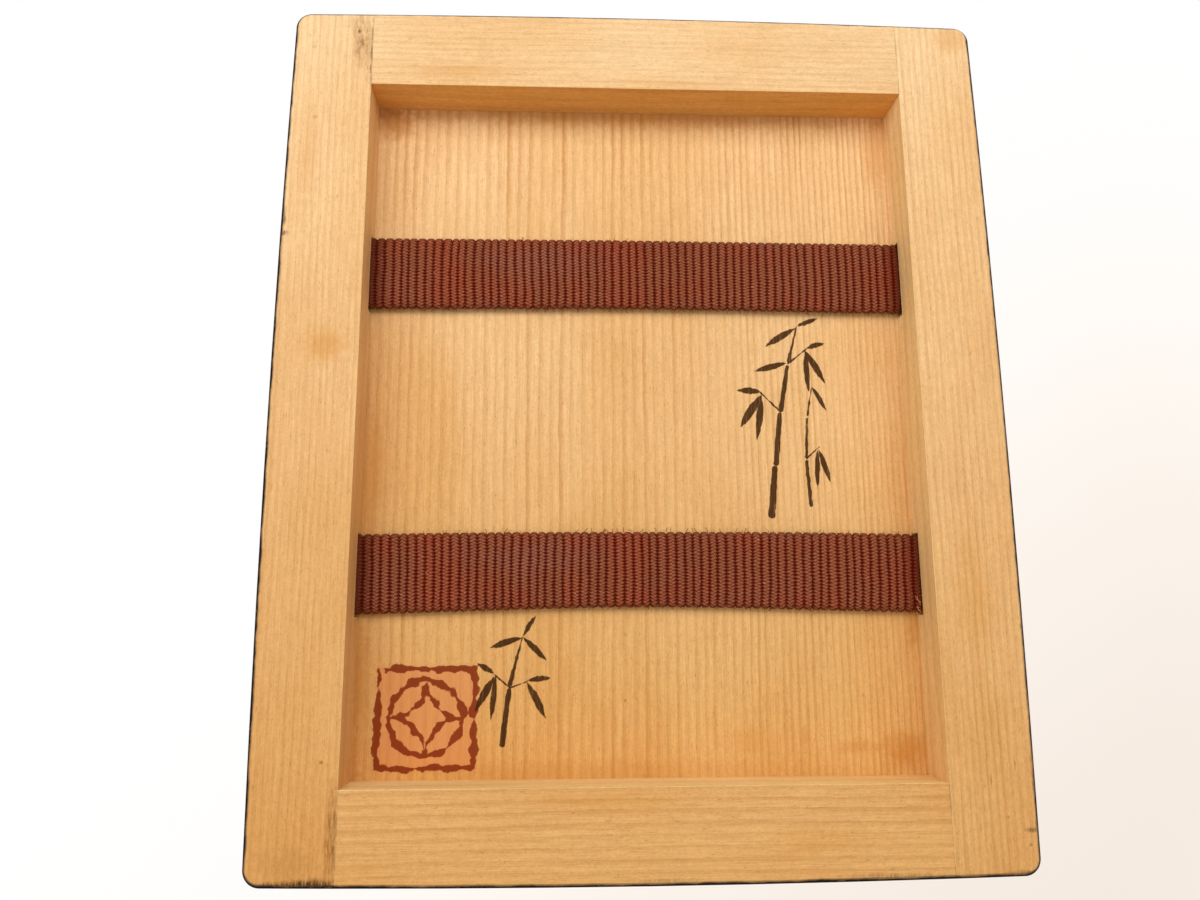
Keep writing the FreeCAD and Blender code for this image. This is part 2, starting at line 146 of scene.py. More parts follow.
# A shader socket, on which sums are written as Python expressions.
class Wire:
    def __init__(self, finish, socket):
        self.finish = finish
        self.socket = socket

    def __add__(self, other):
        return self.finish.math("ADD", self, other)

    def __radd__(self, other):
        return self.finish.math("ADD", other, self)

    def __sub__(self, other):
        return self.finish.math("SUBTRACT", self, other)

    def __rsub__(self, other):
        return self.finish.math("SUBTRACT", other, self)

    def __mul__(self, other):
        return self.finish.math("MULTIPLY", self, other)

    def __rmul__(self, other):
        return self.finish.math("MULTIPLY", other, self)

    def __truediv__(self, other):
        return self.finish.math("DIVIDE", self, other)

    def __pow__(self, other):
        return self.finish.math("POWER", self, other)

    def __abs__(self):
        return self.finish.math("ABSOLUTE", self)


# The nodes of one material or of the world.
class Finish:
    def __init__(self, owner):
        self.owner = owner
        owner.use_nodes = True
        self.tree = owner.node_tree
        self.tree.nodes.clear()

    # Adds a node. Its settings are set first, and then its sockets get their values or links.
    def node(self, kind, settings=None, inputs=None, output=0):
        made = self.tree.nodes.new(kind)
        for name, value in (settings or {}).items():
            setattr(made, name, value)
        for name, value in (inputs or {}).items():
            socket = made.inputs[name]
            if isinstance(value, Wire):
                self.tree.links.new(value.socket, socket)
            else:
                socket.default_value = value
        return Wire(self, made.outputs[output]) if made.outputs else made

    def math(self, operation, *values):
        return self.node("ShaderNodeMath", {"operation": operation}, dict(enumerate(values)))

    def vector(self, operation, *values, output=0):
        settings = {"operation": operation}
        return self.node("ShaderNodeVectorMath", settings, dict(enumerate(values)), output)

    def scaled(self, vector, factor):
        inputs = {0: vector, "Scale": factor}
        return self.node("ShaderNodeVectorMath", {"operation": "SCALE"}, inputs)

    def highest(self, values):
        found = values[0]
        for value in values[1:]:
            found = self.math("MAXIMUM", found, value)
        return found

    # Runs from 0 at low to 1 at high, and the other way where low is the larger.
    def smooth(self, value, low, high):
        return self.node("ShaderNodeMapRange", {"interpolation_type": "SMOOTHSTEP"},
                         {"Value": value, "From Min": low, "From Max": high})

    # Blends two colours. The node has a set of sockets for each type of value, found by number.
    def mix(self, factor, first, second, blend="MIX"):
        return self.node("ShaderNodeMix", {"data_type": "RGBA", "blend_type": blend},
                         {0: factor, 6: first, 7: second}, 2)

    def multiply(self, first, second):
        return self.mix(1.0, first, second, "MULTIPLY")

    # Makes a colour lighter or darker by a factor.
    def lighten(self, colour, light):
        return self.multiply(colour, self.join(light, light, light))

    def join(self, x, y, z):
        return self.node("ShaderNodeCombineXYZ", None, {"X": x, "Y": y, "Z": z})

    def split(self, vector):
        made = self.node("ShaderNodeSeparateXYZ", None, {"Vector": vector}).socket.node
        return [Wire(self, socket) for socket in made.outputs]

    # Cloudy noise from 0 to 1, with its blotches about size long along each axis.
    def noise(self, place, size, detail=2.0, roughness=0.5):
        scaled = self.vector("DIVIDE", place, size)
        return self.node("ShaderNodeTexNoise", {"noise_dimensions": "3D"},
                         {"Vector": scaled, "Scale": 1.0, "Detail": detail, "Roughness": roughness})

    # A value from 0 to 1 that belongs to a whole number, seemingly at random.
    def chance(self, number):
        return self.node("ShaderNodeTexWhiteNoise", {"noise_dimensions": "1D"}, {"W": number})

    # The place on the object in millimetres, which stays with a piece that moves.
    def place(self):
        coordinates = self.node("ShaderNodeTexCoord", output=3)
        return self.scaled(coordinates, 1 / mm)

    def bump(self, height, distance, normal):
        inputs = {"Height": height, "Distance": distance, "Normal": normal}
        return self.node("ShaderNodeBump", None, inputs)

    # The normal as it runs round an eased arris, and how near the arris is, from 0 to 1.
    def arris(self, radius):
        eased = self.node("ShaderNodeBevel", {"samples": 4}, {"Radius": radius})
        plain = self.node("ShaderNodeNewGeometry", output=1)
        agreement = self.vector("DOT_PRODUCT", eased, plain, output=1)
        return eased, self.smooth(agreement, 0.995, 0.85)

    def surface(self, inputs):
        shader = self.node("ShaderNodeBsdfPrincipled", None, inputs)
        self.node("ShaderNodeOutputMaterial", None, {"Surface": shader})


def newFinish(name):
    return Finish(bpy.data.materials.new(name))


# Wood

woodGrain = {
    "ringPitch": 1.3,                   # from one growth line to the next
    "ringTilt": 0.3,                    # how far the lines lean with depth
    "drift": 1.3,                       # how far the lines stray on their way along the board
    "ripple": 0.3,                      # how far they waver, as a share of their pitch
    "unevenness": 0.45,                 # how unevenly the lines are spaced
    "firstRing": 100,                   # the number of the line at the middle of the board
    "lineStrength": 0.6,
    "fibreStrength": 0.3,
    "fleckStrength": 0.34,
    "mottle": 0.36,
    "grit": 0.26,
    "level": 1.02,                      # how light the wood is
    "arris": 0.14,                      # how far the arrises are eased
    "relief": 0.03,                     # how deep the grain is
    "roughness": 0.62,
    "shine": 0.2,
    "pale": tint(244, 208, 158),
    "warm": tint(234, 190, 133),
    "line": tint(192, 134, 72),
    "fleck": tint(150, 92, 46),
    "agedAndShaded": (0.86, 0.69, 0.45, 1.0),    # what the wood keeps of each colour where it is most aged and most darkened by the painted shade towards the front
    # the same for the bottom board, where the ageing and painted shade are stronger
    "agedAndShadedPanel": (0.81, 0.645, 0.37, 1.0),
    "inside": 0.2,                      # how far the wood inside the box has aged
    "insideHeight": (9.0, 7.0),         # between these heights, the ageing inside changes to the ageing and painted shade underneath
}

# The length of each pattern's blotches across the board, along it and in its depth.
blotches = {
    "drift": (26, 75, 14),
    "ripple": (1.1, 2.4, 1.1),
    "spread": (2.7, 1, 1),
    "fade": (3.5, 22, 3.5),
    "cloud": (16, 34, 16),
    "fibre": (0.16, 5.5, 0.16),
    "fleck": (0.12, 0.8, 0.12),
    "mottle": (0.55, 1.1, 0.55),
    "grit": (0.17, 0.3, 0.17),
}


# How dark the growth lines are, from 0 between them. Crowding draws them together towards -X or -Y.
def growLines(finish, board, across, z, shift, pitch, crowding):
    drift = finish.noise(board, blotches["drift"]) - 0.5
    ripple = finish.noise(board, blotches["ripple"], 3.0, 0.6) - 0.5
    crowded = finish.math("MINIMUM", across, 0.0)
    lines = across - crowded * crowded * crowding
    lines = lines + z * woodGrain["ringTilt"]
    lines = lines + drift * (2 * woodGrain["drift"]) + ripple * (woodGrain["ripple"] * pitch)
    spread = finish.noise(finish.join(lines + shift[0], shift[1], 0.5), blotches["spread"]) - 0.5
    lines = (lines + spread * (2 * woodGrain["unevenness"])) / pitch + woodGrain["firstRing"]
    cycle = finish.math("FRACT", lines)
    own = finish.chance(finish.math("FLOOR", lines) + shift[2])
    fade = finish.smooth(finish.noise(board, blotches["fade"]), 0.3, 0.75)
    line = finish.smooth(cycle, 0.3, 0.85) * finish.smooth(cycle, 1.0, 0.85)
    return line * (own * 0.5 + 0.5) * (fade * 0.5 + 0.5)


# How far the wood is aged and shaded, from 0 to 1. Underneath it darkens towards the front, which is
# painted shade for light falling off there, less where it is spared, and inside the box it is evenly
# aged.
def agedAndShadedShare(finish, y, z, spared):
    span = {"Value": y, "From Min": caseHalfY, "From Max": -caseHalfY}
    shadeFrontwards = finish.node("ShaderNodeMapRange", None, span)
    outside = finish.smooth(z, *woodGrain["insideHeight"])
    return outside * (shadeFrontwards * (1 - spared) - woodGrain["inside"]) + woodGrain["inside"]


# The colour and the relief of a board whose grain runs along X or Y, with growth lines, fibres and
# flecks. The shift says which part of the timber the board was cut from.
def growGrain(finish, place, runs, shift, contrast=1.0, agedAndShaded=woodGrain["agedAndShaded"], spared=0.0,
              level=woodGrain["level"], pitch=woodGrain["ringPitch"], crowding=0.0):
    x, y, z = finish.split(place)
    across, along = (x, y) if runs == "Y" else (y, x)
    board = finish.vector("ADD", finish.join(across, along, z), shift)
    line = growLines(finish, board, across, z, shift, pitch, crowding)
    cloud = finish.smooth(finish.noise(board, blotches["cloud"], 3.0), 0.3, 0.72)
    fibre = finish.noise(board, blotches["fibre"], 4.0, 0.6)
    fleck = finish.smooth(finish.noise(board, blotches["fleck"], 1.0), 0.66, 0.76)
    colour = finish.mix(cloud, woodGrain["pale"], woodGrain["warm"])
    colour = finish.mix(line * (woodGrain["lineStrength"] * contrast), colour, woodGrain["line"])
    between = finish.smooth(fibre, 0.75, 0.25)
    colour = finish.mix(between * woodGrain["fibreStrength"], colour, woodGrain["line"])
    colour = finish.mix(fleck * woodGrain["fleckStrength"], colour, woodGrain["fleck"])
    # Ageing, and underneath it the painted shade that darkens the wood towards the front.
    ageAndShade = agedAndShadedShare(finish, y, z, spared)
    colour = finish.mix(ageAndShade, colour, finish.multiply(colour, agedAndShaded))
    mottle = finish.noise(board, blotches["mottle"], 4.0, 0.75)
    grit = finish.noise(board, blotches["grit"], 1.0)
    light = mottle * woodGrain["mottle"] + grit * woodGrain["grit"]
    light = light + (level - (woodGrain["mottle"] + woodGrain["grit"]) / 2)
    return finish.lighten(colour, light), fibre + mottle * 0.3 - line * 0.6


# Stains, smears and specks, each at its place, with its reach along X and Y and its strength. For
# smears and soot the colour is what they leave of the wood's own. The amber marks along the rear and
# +X edges of the bottom board are painted shade beside the walls.
stain = tint(206, 138, 52)
# Amber for stains, and for the painted shade beside the walls of the bottom board.
amberStainAndShade = tint(190, 120, 38)
smear = (0.36, 0.2, 0.08, 1.0)
soot = (0.1, 0.05, 0.02, 1.0)
marks = {
    "side_board_right": [
        ((37.2, 7.9), (2.6, 2.2), stain, 0.5),
        ((40.6, 33.0), (1.6, 9.0), stain, 0.22),
        ((40.2, 12.0), (2.0, 9.0), stain, 0.14),
        ((34.9, 47.6), (0.9, 4.0), smear, 0.6),
        ((33.8, 46.8), (0.3, 5.0), smear, 0.5),
        ((35.0, 49.0), (0.25, 0.35), soot, 0.7),
        ((34.6, 47.3), (0.2, 0.9), soot, 0.35),
        ((33.42, 46.8), (0.12, 5.0), soot, 0.8),
        ((36.1, 50.1), (1.0, 0.9), smear, 0.2),
        ((40.5, 46.7), (0.3, 0.25), smear, 0.4),
        ((39.9, 37.1), (0.25, 0.25), smear, 0.5),
        ((42.9, 24.0), (0.3, 1.2), soot, 0.8),
        ((42.75, 21.8), (0.5, 0.35), soot, 0.85),
        ((35.25, -38.9), (0.22, 0.22), soot, 0.7),
        ((34.0, -46.5), (0.5, 5.4), smear, 0.65),
        ((33.5, -46.8), (0.16, 4.9), soot, 0.6),
        ((38.0, -51.3), (5.4, 0.5), soot, 0.85),
        ((35.2, -51.1), (2.2, 0.6), soot, 0.7),
        ((38.5, -49.2), (3.6, 1.6), smear, 0.2),
        ((38.0, -30.0), (3.0, 6.0), stain, 0.12),
    ],
    "side_board_left": [
        ((-38.6, 51.7), (3.6, 0.3), soot, 0.7),
        ((-40.6, 49.6), (2.4, 1.8), stain, 0.35),
        ((-42.1, -46.75), (0.8, 0.28), soot, 0.8),
        ((-42.75, -46.2), (0.22, 0.7), soot, 0.7),
        ((-42.95, -24.9), (0.22, 0.4), soot, 0.6),
        ((-42.9, -32.0), (0.16, 3.6), soot, 0.5),
        ((-42.7, -41.0), (0.2, 2.8), soot, 0.55),
        ((-41.3, -51.1), (2.2, 0.3), soot, 0.6),
        ((-40.8, -40.0), (0.12, 0.7), smear, 0.7),
        ((-39.6, -45.4), (0.16, 0.2), soot, 0.6),
        ((-41.8, -48.3), (0.2, 0.2), soot, 0.6),
        ((-38.0, -41.5), (0.12, 0.9), smear, 0.6),
        ((-36.4, -46.8), (0.1, 0.8), smear, 0.5),
        ((-37.6, -22.0), (2.2, 7.0), stain, 0.3),
        ((-38.0, -36.0), (3.6, 6.0), stain, 0.2),
        ((-36.2, 24.0), (1.2, 7.0), stain, 0.12),
    ],
    "end_board_rear": [
        ((22.0, 43.6), (7.0, 1.2), stain, 0.3),
        ((-4.0, 42.6), (9.0, 0.8), stain, 0.2),
    ],
    "end_board_front": [
        ((5.0, -43.2), (8.0, 1.2), stain, 0.25),
        ((-19.0, -47.5), (6.0, 1.5), stain, 0.2),
        ((-2.0, -51.3), (4.0, 0.22), soot, 0.35),
        ((-27.0, -51.2), (5.0, 0.3), soot, 0.5),
    ],
    "bottom_board": [
        ((-30.8, -38.9), (2.8, 2.0), amberStainAndShade, 0.55),
        ((-25.0, -38.6), (3.0, 0.9), amberStainAndShade, 0.3),
        ((-19.0, -37.4), (0.5, 1.8), amberStainAndShade, 0.3),
        ((-32.5, -24.5), (0.9, 3.4), amberStainAndShade, 0.45),
        # Painted shade: amber at the rear corner and along the rear wall, where the rear wall's shadow
        # falls on the panel.
        ((31.4, 40.0), (2.8, 2.8), amberStainAndShade, 0.6),
        ((0.0, 41.6), (36.0, 2.0), amberStainAndShade, 0.55),
        ((8.0, -40.9), (25.0, 1.3), amberStainAndShade, 0.2),
        # Painted shade: amber along the +X edge, beside the wall.
        ((32.8, -31.0), (1.1, 9.0), amberStainAndShade, 0.4),
        ((32.4, -7.0), (1.6, 8.5), stain, 0.4),
        ((-32.0, 37.0), (2.2, 6.0), stain, 0.35),
        ((-20.2, 22.0), (1.6, 1.2), smear, 0.12),
        ((2.0, -33.1), (0.2, 0.2), soot, 0.7),
        ((22.0, 38.0), (9.0, 4.0), stain, 0.12),
        ((-12.5, -37.7), (3.0, 1.6), stain, 0.25),
    ],
}


# Lays the marks over a colour. Their outlines are ragged, and dark ones settle along the fibres.
def addMarks(finish, place, colour, spots, height):
    ragged = (finish.noise(place, (0.9, 0.9, 0.9), 3.0) - 0.5) * 1.3
    fibres = finish.noise(place, (0.22, 1.3, 0.6), 3.0, 0.65)
    settled = finish.smooth(fibres, 0.38, 0.6) * 0.65 + 0.35
    for (x, y), reach, shade, strength in spots:
        offset = finish.vector("SUBTRACT", place, (x, y, height))
        away = finish.vector("LENGTH", finish.vector("DIVIDE", offset, (*reach, 1.0)), output=1)
        share = finish.smooth(away + ragged, 1.4, 0.2) * strength
        if shade in (smear, soot):
            share = share * settled
            shade = finish.multiply(colour, shade)
        colour = finish.mix(share, colour, shade)
    return colour


# How far a place lies inside the box's outline in plan, true up to the corner radius.
def insetFromOutline(finish, place):
    x, y, z = finish.split(place)
    radius = outline["cornerRadius"]
    insideX = caseHalfX - (y / caseHalfY) ** 2 * outline["sideSwell"] - abs(x)
    insideY = caseHalfY - (x / caseHalfX) ** 2 * outline["endSwell"] - abs(y)
    pastX = finish.math("MAXIMUM", radius - insideX, 0.0)
    pastY = finish.math("MAXIMUM", radius - insideY, 0.0)
    return radius - finish.math("SQRT", pastX * pastX + pastY * pastY)


lacquer = {
    "black": tint(20, 15, 12),
    "brown": tint(30, 21, 16),      # in clouds over the black
    "thin": tint(84, 52, 30),       # where the coat thins out over the wood
    "creep": 0.27,                  # how far the coat reaches onto the foot
    "rimCreep": 0.5,                # the same on the rim
    "ragged": 0.5,                  # how far the edge of the coat strays
    "lidRagged": 0.4,
    "arris": 0.3,                   # on the lid, where the coat wears through
    "roughness": 0.32,
    "wornRoughness": 0.75,
    "coat": 0.24,
    "coatRoughness": 0.12,
    "shine": 0.1,
    "fill": 0.85,                   # how much of the grain's depth it fills
}


# Where the coat lies and where its thin edge does, both from 0 on bare wood to 1.
def coatEdge(finish, place, creep, ragged):
    stray = finish.noise(place, (2.2, 2.2, 2.2), 3.0) - 0.5
    past = insetFromOutline(finish, place) - (stray * ragged + creep)
    return finish.smooth(past, 0.06, -0.06), finish.smooth(past, 0.3, 0.0)


# Paints lacquer over bare wood by a mask that runs from 0 on wood to 1 under the coat.
def lacqueredSurface(finish, place, wood, relief, coat, thin, arris):
    cloud = finish.noise(place, (9, 9, 9), 3.0)
    rub = finish.noise(place, (0.5, 3.5, 3.5), 4.0, 0.65)
    black = finish.mix(finish.smooth(cloud, 0.35, 0.8) * 0.35, lacquer["black"], lacquer["brown"])
    eased, edge = finish.arris(arris * mm)
    rubbed = edge * finish.smooth(finish.noise(place, (4.0, 4.0, 4.0), 4.0, 0.6), 0.42, 0.66)
    black = finish.mix(rubbed * 0.6, black, lacquer["thin"])
    colour = finish.mix(thin * 0.75, wood, lacquer["thin"])
    colour = finish.mix(coat, colour, black)
    polish = finish.smooth(finish.split(place)[2] + (rub - 0.5) * 1.5, 0.7, 2.2)
    polished = finish.smooth(rub, 0.45, 0.8) * 0.12 + (lacquer["roughness"] - lacquer["wornRoughness"])
    coated = lacquer["wornRoughness"] + polished * polish
    height = relief * (1 - coat * lacquer["fill"])
    finish.surface({
        "Base Color": colour,
        "Roughness": coated * coat + (1 - coat) * woodGrain["roughness"],
        "Coat Weight": coat * polish * lacquer["coat"],
        "Coat Roughness": lacquer["coatRoughness"],
        "Specular IOR Level": lacquer["shine"],
        "Normal": finish.bump(height, woodGrain["relief"] * mm, eased),
    })


# The wall boards: which way the grain runs, where in the timber it is from, how strong the growth
# lines are and how far apart, how light the wood is, and the painted light and shade on its inner face
# in the recess.
walls = {
    "side_board_right": {
        "runs": "Y", "shift": (3.0, 21.0, 7.0), "contrast": 0.55, "pitch": 0.85,
        "level": 1.02, "recessLightAndShade": (0.98, 0.93, 0.8, 1.0),
    },
    "side_board_left": {
        "runs": "Y", "shift": (57.0, 5.0, 31.0), "contrast": 0.68, "pitch": 0.85,
        "level": 1.02, "recessLightAndShade": (1.04, 1.09, 0.98, 1.0),
    },
    "end_board_rear": {
        "runs": "X", "shift": (17.0, 43.0, 2.0), "contrast": 0.38, "pitch": 0.85,
        "level": 0.985, "recessLightAndShade": (1.035, 0.83, 0.455, 1.0),
    },
    "end_board_front": {
        "runs": "X", "shift": (71.0, 13.0, 23.0), "contrast": 0.6, "pitch": 1.2,
        "level": 1.02, "recessLightAndShade": (1.12, 1.26, 1.18, 1.0),
    },
}


# The dirty line where an end board meets a side board, on the foot.
def jointLine(finish, place):
    x, y, z = finish.split(place)
    joint = finish.smooth(abs(abs(x) - innerHalfX), 0.13, 0.02)
    joint = joint * finish.smooth(abs(y), innerHalfY, innerHalfY + 0.1)
    worn = finish.smooth(finish.noise(place, (1.2, 3.0, 1.2), 3.0), 0.4, 0.62)
    return joint * finish.smooth(z, 0.9, 0.5) * (worn * 0.3 + 0.02)


# A wall board of the case: bare inside and underneath, lacquered outside.
def wallFinish(board):
    wall = walls[board]
    finish = newFinish(board)
    place = finish.place()
    x, y, z = finish.split(place)
    # Painted light and shade on the inner faces of the recess: lighter on the left side board and the
    # front end board, darker and more amber on the rear end board, a little darker on the right side
    # board. These faces also get less of the painted shade towards the front.
    recessLightAndShade = abs(x) - innerHalfX if wall["runs"] == "Y" else abs(y) - innerHalfY
    recessLightAndShade = finish.smooth(recessLightAndShade, 0.09, 0.04) * finish.smooth(z, 7.0, 6.5)
    wood, relief = growGrain(finish, place, wall["runs"], wall["shift"], wall["contrast"],
                             spared=recessLightAndShade * 0.6, level=wall["level"], pitch=wall["pitch"])
    wood = finish.mix(jointLine(finish, place), wood, lacquer["thin"])
    wood = finish.mix(recessLightAndShade, wood, finish.multiply(wood, wall["recessLightAndShade"]))
    wood = addMarks(finish, place, wood, marks[board], 0.0)
    creep = finish.smooth(z, 1.0, 3.0) * (lacquer["rimCreep"] - lacquer["creep"]) + lacquer["creep"]
    coat, thin = coatEdge(finish, place, creep, lacquer["ragged"])
    chips = finish.smooth(finish.noise(place, (0.9, 0.9, 0.9), 3.0), 0.62, 0.68)
    coat = coat * (1 - chips * finish.smooth(z, 0.6, 0.2) * 0.7)
    lacqueredSurface(finish, place, wood, relief, coat, thin, woodGrain["arris"])
    return finish.owner


def lidFinish():
    finish = newFinish("lid_board")
    place = finish.place()
    z = finish.split(place)[2]
    wood, relief = growGrain(finish, place, "Y", (41.0, 7.0, 3.0))
    coat, thin = coatEdge(finish, place, lacquer["rimCreep"], lacquer["lidRagged"])
    coat = finish.math("MAXIMUM", coat, finish.smooth(z, caseTop + 0.3, caseTop + 0.5))
    lacqueredSurface(finish, place, wood, relief, coat, thin, lacquer["arris"])
    return finish.owner


def bareFinish(name, runs, shift, contrast=1.0):
    finish = newFinish(name)
    place = finish.place()
    wood, relief = growGrain(finish, place, runs, shift, contrast)
    eased, _ = finish.arris(woodGrain["arris"] * mm)
    finish.surface({
        "Base Color": wood,
        "Roughness": woodGrain["roughness"],
        "Specular IOR Level": woodGrain["shine"],
        "Normal": finish.bump(relief, woodGrain["relief"] * mm, eased),
    })
    return finish.owner


# Brush marks on the bottom board

# Places are in millimetres as seen from below, with +X of the box to the left.
# A stroke runs straight and has a width at each end. A leaf runs from tip to tip and bulges
# to its left and to its right.
rightSprig = {
    "centre": (18.0, 1.0),
    "strokes": [
        ((-1.9, -12.4), (-1.3, -6.7), 0.46, 0.38), ((-1.1, -6.0), (-0.4, 0.1), 0.38, 0.33),
        ((-0.2, 0.8), (0.8, 6.3), 0.34, 0.27), ((1.0, 7.0), (2.2, 11.6), 0.27, 0.08),
        ((3.0, -11.2), (2.7, -5.8), 0.26, 0.22), ((2.7, -5.2), (3.0, -0.4), 0.22, 0.17),
        ((3.1, 0.1), (3.8, 4.0), 0.17, 0.06), ((-0.3, 0.5), (-2.7, 2.9), 0.16, 0.1),
        ((0.9, 6.7), (3.3, 8.6), 0.16, 0.1), ((2.7, -5.4), (4.3, -4.0), 0.14, 0.09),
    ],
    "leaves": [
        ((-2.5, 2.7), (-5.4, -1.6), 0.45, 0.6), ((-2.6, 2.8), (-3.4, -3.2), 0.5, 0.38),
        ((-2.6, 3.0), (-5.7, 3.2), 0.36, 0.5), ((3.1, 8.5), (5.6, 4.0), 0.5, 0.42),
        ((3.2, 8.6), (3.4, 2.9), 0.36, 0.46), ((3.3, 8.7), (5.7, 9.4), 0.44, 0.3),
        ((2.1, 11.4), (-1.9, 8.9), 0.4, 0.5), ((2.2, 11.6), (5.0, 12.7), 0.36, 0.28),
        ((0.9, 6.8), (-3.5, 5.6), 0.34, 0.5), ((4.2, -4.1), (5.6, -8.6), 0.42, 0.34),
        ((4.2, -4.0), (3.9, -9.2), 0.3, 0.4), ((3.7, 3.9), (5.5, 0.6), 0.34, 0.26),
    ],
}
leftSprig = {
    "centre": (-15.0, -30.7),
    "strokes": [
        ((-1.2, -7.2), (-0.5, -1.2), 0.36, 0.3), ((-0.4, -0.5), (1.0, 4.9), 0.3, 0.08),
        ((-0.4, -0.9), (-2.2, 0.6), 0.14, 0.09), ((-0.4, -0.9), (1.6, -0.2), 0.14, 0.09),
    ],
    "leaves": [
        ((-2.1, 0.5), (-4.4, -3.6), 0.4, 0.55), ((-2.1, 0.6), (-2.6, -4.6), 0.45, 0.32),
        ((-2.2, 0.7), (-4.3, 1.9), 0.3, 0.4), ((1.5, -0.2), (3.8, -4.4), 0.5, 0.4),
        ((1.5, -0.1), (4.4, 0.2), 0.38, 0.28), ((1.0, 4.8), (-2.9, 3.6), 0.34, 0.5),
        ((1.0, 4.9), (3.9, 2.1), 0.42, 0.36), ((1.0, 4.9), (2.6, 7.4), 0.36, 0.26),
    ],
}
ink = {
    "colour": tint(68, 38, 10),
    "strength": 0.76,
    "pooled": 0.22,          # how much stronger it is where the brush wasn't dry
    "polish": 0.12,          # how much smoother it is than the wood
}
sealMark = {
    "centre": (-25.0, -34.9),
    "half": 5.85,            # from its middle to its edge
    "line": 0.33,            # half the width of its lines
    "ring": 4.2,
    "wobble": 0.6,           # how far its lines stray
    "red": tint(128, 38, 3),
    "strength": 0.92,
    "haze": tint(214, 128, 74),
    "hazeStrength": 0.55,
}


# How far inside a tapering straight stroke a place lies, below 0 outside.
def strokeInside(finish, spot, start, stop, firstWidth, lastWidth):
    run = Vector(stop) - Vector(start)
    offset = finish.vector("SUBTRACT", spot, (*start, 0.0))
    share = finish.vector("DOT_PRODUCT", offset, (*(run / run.length_squared), 0.0), output=1)
    share = finish.node("ShaderNodeClamp", None, {"Value": share})
    nearest = finish.scaled((*run, 0.0), share)
    away = finish.vector("DISTANCE", offset, nearest, output=1)
    return share * (lastWidth - firstWidth) + firstWidth - away


# How far inside a leaf a place lies. A leaf is what two circles through its tips share.
def leafInside(finish, spot, start, stop, leftBulge, rightBulge):
    start, stop = Vector(start), Vector(stop)
    middle, half = (start + stop) / 2, (stop - start) / 2
    leftwards = Vector((-half.y, half.x)).normalized()
    sides = []
    for bulge, towards in ((leftBulge, leftwards), (rightBulge, -leftwards)):
        radius = (half.length_squared + bulge * bulge) / (2 * bulge)
        centre = middle - towards * (radius - bulge)
        sides.append(radius - finish.vector("DISTANCE", spot, (*centre, 0.0), output=1))
    return finish.math("MINIMUM", *sides)


def sprigInside(finish, spot, sprig):
    local = finish.vector("SUBTRACT", spot, (*sprig["centre"], 0.0))
    inside = [strokeInside(finish, local, *stroke) for stroke in sprig["strokes"]]
    inside += [leafInside(finish, local, *leaf) for leaf in sprig["leaves"]]
    return finish.highest(inside)


# A square frame round a ring crossed by four arcs. Returns how far inside its lines a place lies,
# and how far inside the square.
def sealInside(finish, spot):
    local = finish.vector("SUBTRACT", spot, (*sealMark["centre"], 0.0))
    sway = []
    for aside in (0.0, 40.0):
        stray = finish.noise(finish.vector("ADD", spot, (aside, 0.0, 0.0)), (1.7, 1.7, 1.0))
        sway.append((stray - 0.5) * sealMark["wobble"])
    local = finish.vector("ADD", local, finish.join(*sway, 0.0))
    u, v, _ = finish.split(local)
    size, line, ring = sealMark["half"], sealMark["line"], sealMark["ring"]
    square = finish.math("MAXIMUM", abs(u), abs(v))
    fromRing = finish.vector("LENGTH", local, output=1) - ring
    found = [line - abs(square - (size - line)), line - abs(fromRing)]
    for signU, signV in ((1, 1), (1, -1), (-1, 1), (-1, -1)):
        arc = finish.vector("DISTANCE", local, (ring * signU, ring * signV, 0.0), output=1) - ring
        found.append(finish.math("MINIMUM", line * 0.85 - abs(arc), fromRing * -1))
    return finish.highest(found), size - square


panel = {
    "shift": (3.0, 11.0, 5.0),
    "contrast": 0.95,        # how strong the growth lines are at the front
    "rearContrast": 0.45,    # how much stronger they are at the rear
    "level": 1.055,
    "crowding": 0.012,
    "shine": 0.12,
}


def bottomFinish():
    finish = newFinish("bottom_board")
    place = finish.place()
    x, y, z = finish.split(place)
    contrast = finish.smooth(y, 16.0, 42.0) * panel["rearContrast"] + panel["contrast"]
    # The bottom board gets the ageing and the painted shade towards the front more strongly.
    colour, relief = growGrain(finish, place, "Y", panel["shift"], contrast, woodGrain["agedAndShadedPanel"],
                               level=panel["level"], crowding=panel["crowding"])
    colour = addMarks(finish, place, colour, marks["bottom_board"], panelLow)
    under = finish.smooth(z, panelLow + 0.3, panelLow + 0.1)
    spot = finish.join(x * -1, y, 0.0)
    ragged = finish.noise(place, (0.35, 0.8, 0.35), 3.0) - 0.5
    lines, within = sealInside(finish, spot)
    pressed = (finish.noise(place, (1.5, 1.5, 1.5), 2.0) - 0.48) * 1.5
    haze = finish.smooth(within + ragged * 0.5, -0.3, 0.5) * under
    seal = finish.smooth(lines + pressed + ragged * 0.25, -0.04, 0.08) * under
    colour = finish.mix(haze * sealMark["hazeStrength"], colour, sealMark["haze"])
    colour = finish.mix(seal * sealMark["strength"], colour, sealMark["red"])
    sprigs = finish.highest([sprigInside(finish, spot, sprig) for sprig in (rightSprig, leftSprig)])
    inked = finish.smooth(sprigs + ragged * 0.3, -0.03, 0.07) * under
    wet = finish.smooth(finish.noise(place, (0.12, 2.4, 0.12), 3.0), 0.2, 0.5)
    colour = finish.mix(inked * (wet * ink["pooled"] + ink["strength"]), colour, ink["colour"])
    eased, _ = finish.arris(woodGrain["arris"] * mm)
    finish.surface({
        "Base Color": colour,
        "Roughness": woodGrain["roughness"] - inked * ink["polish"],
        "Specular IOR Level": panel["shine"],
        "Normal": finish.bump(relief, woodGrain["relief"] * mm, eased),
    })
    return finish.owner


# Ribbon

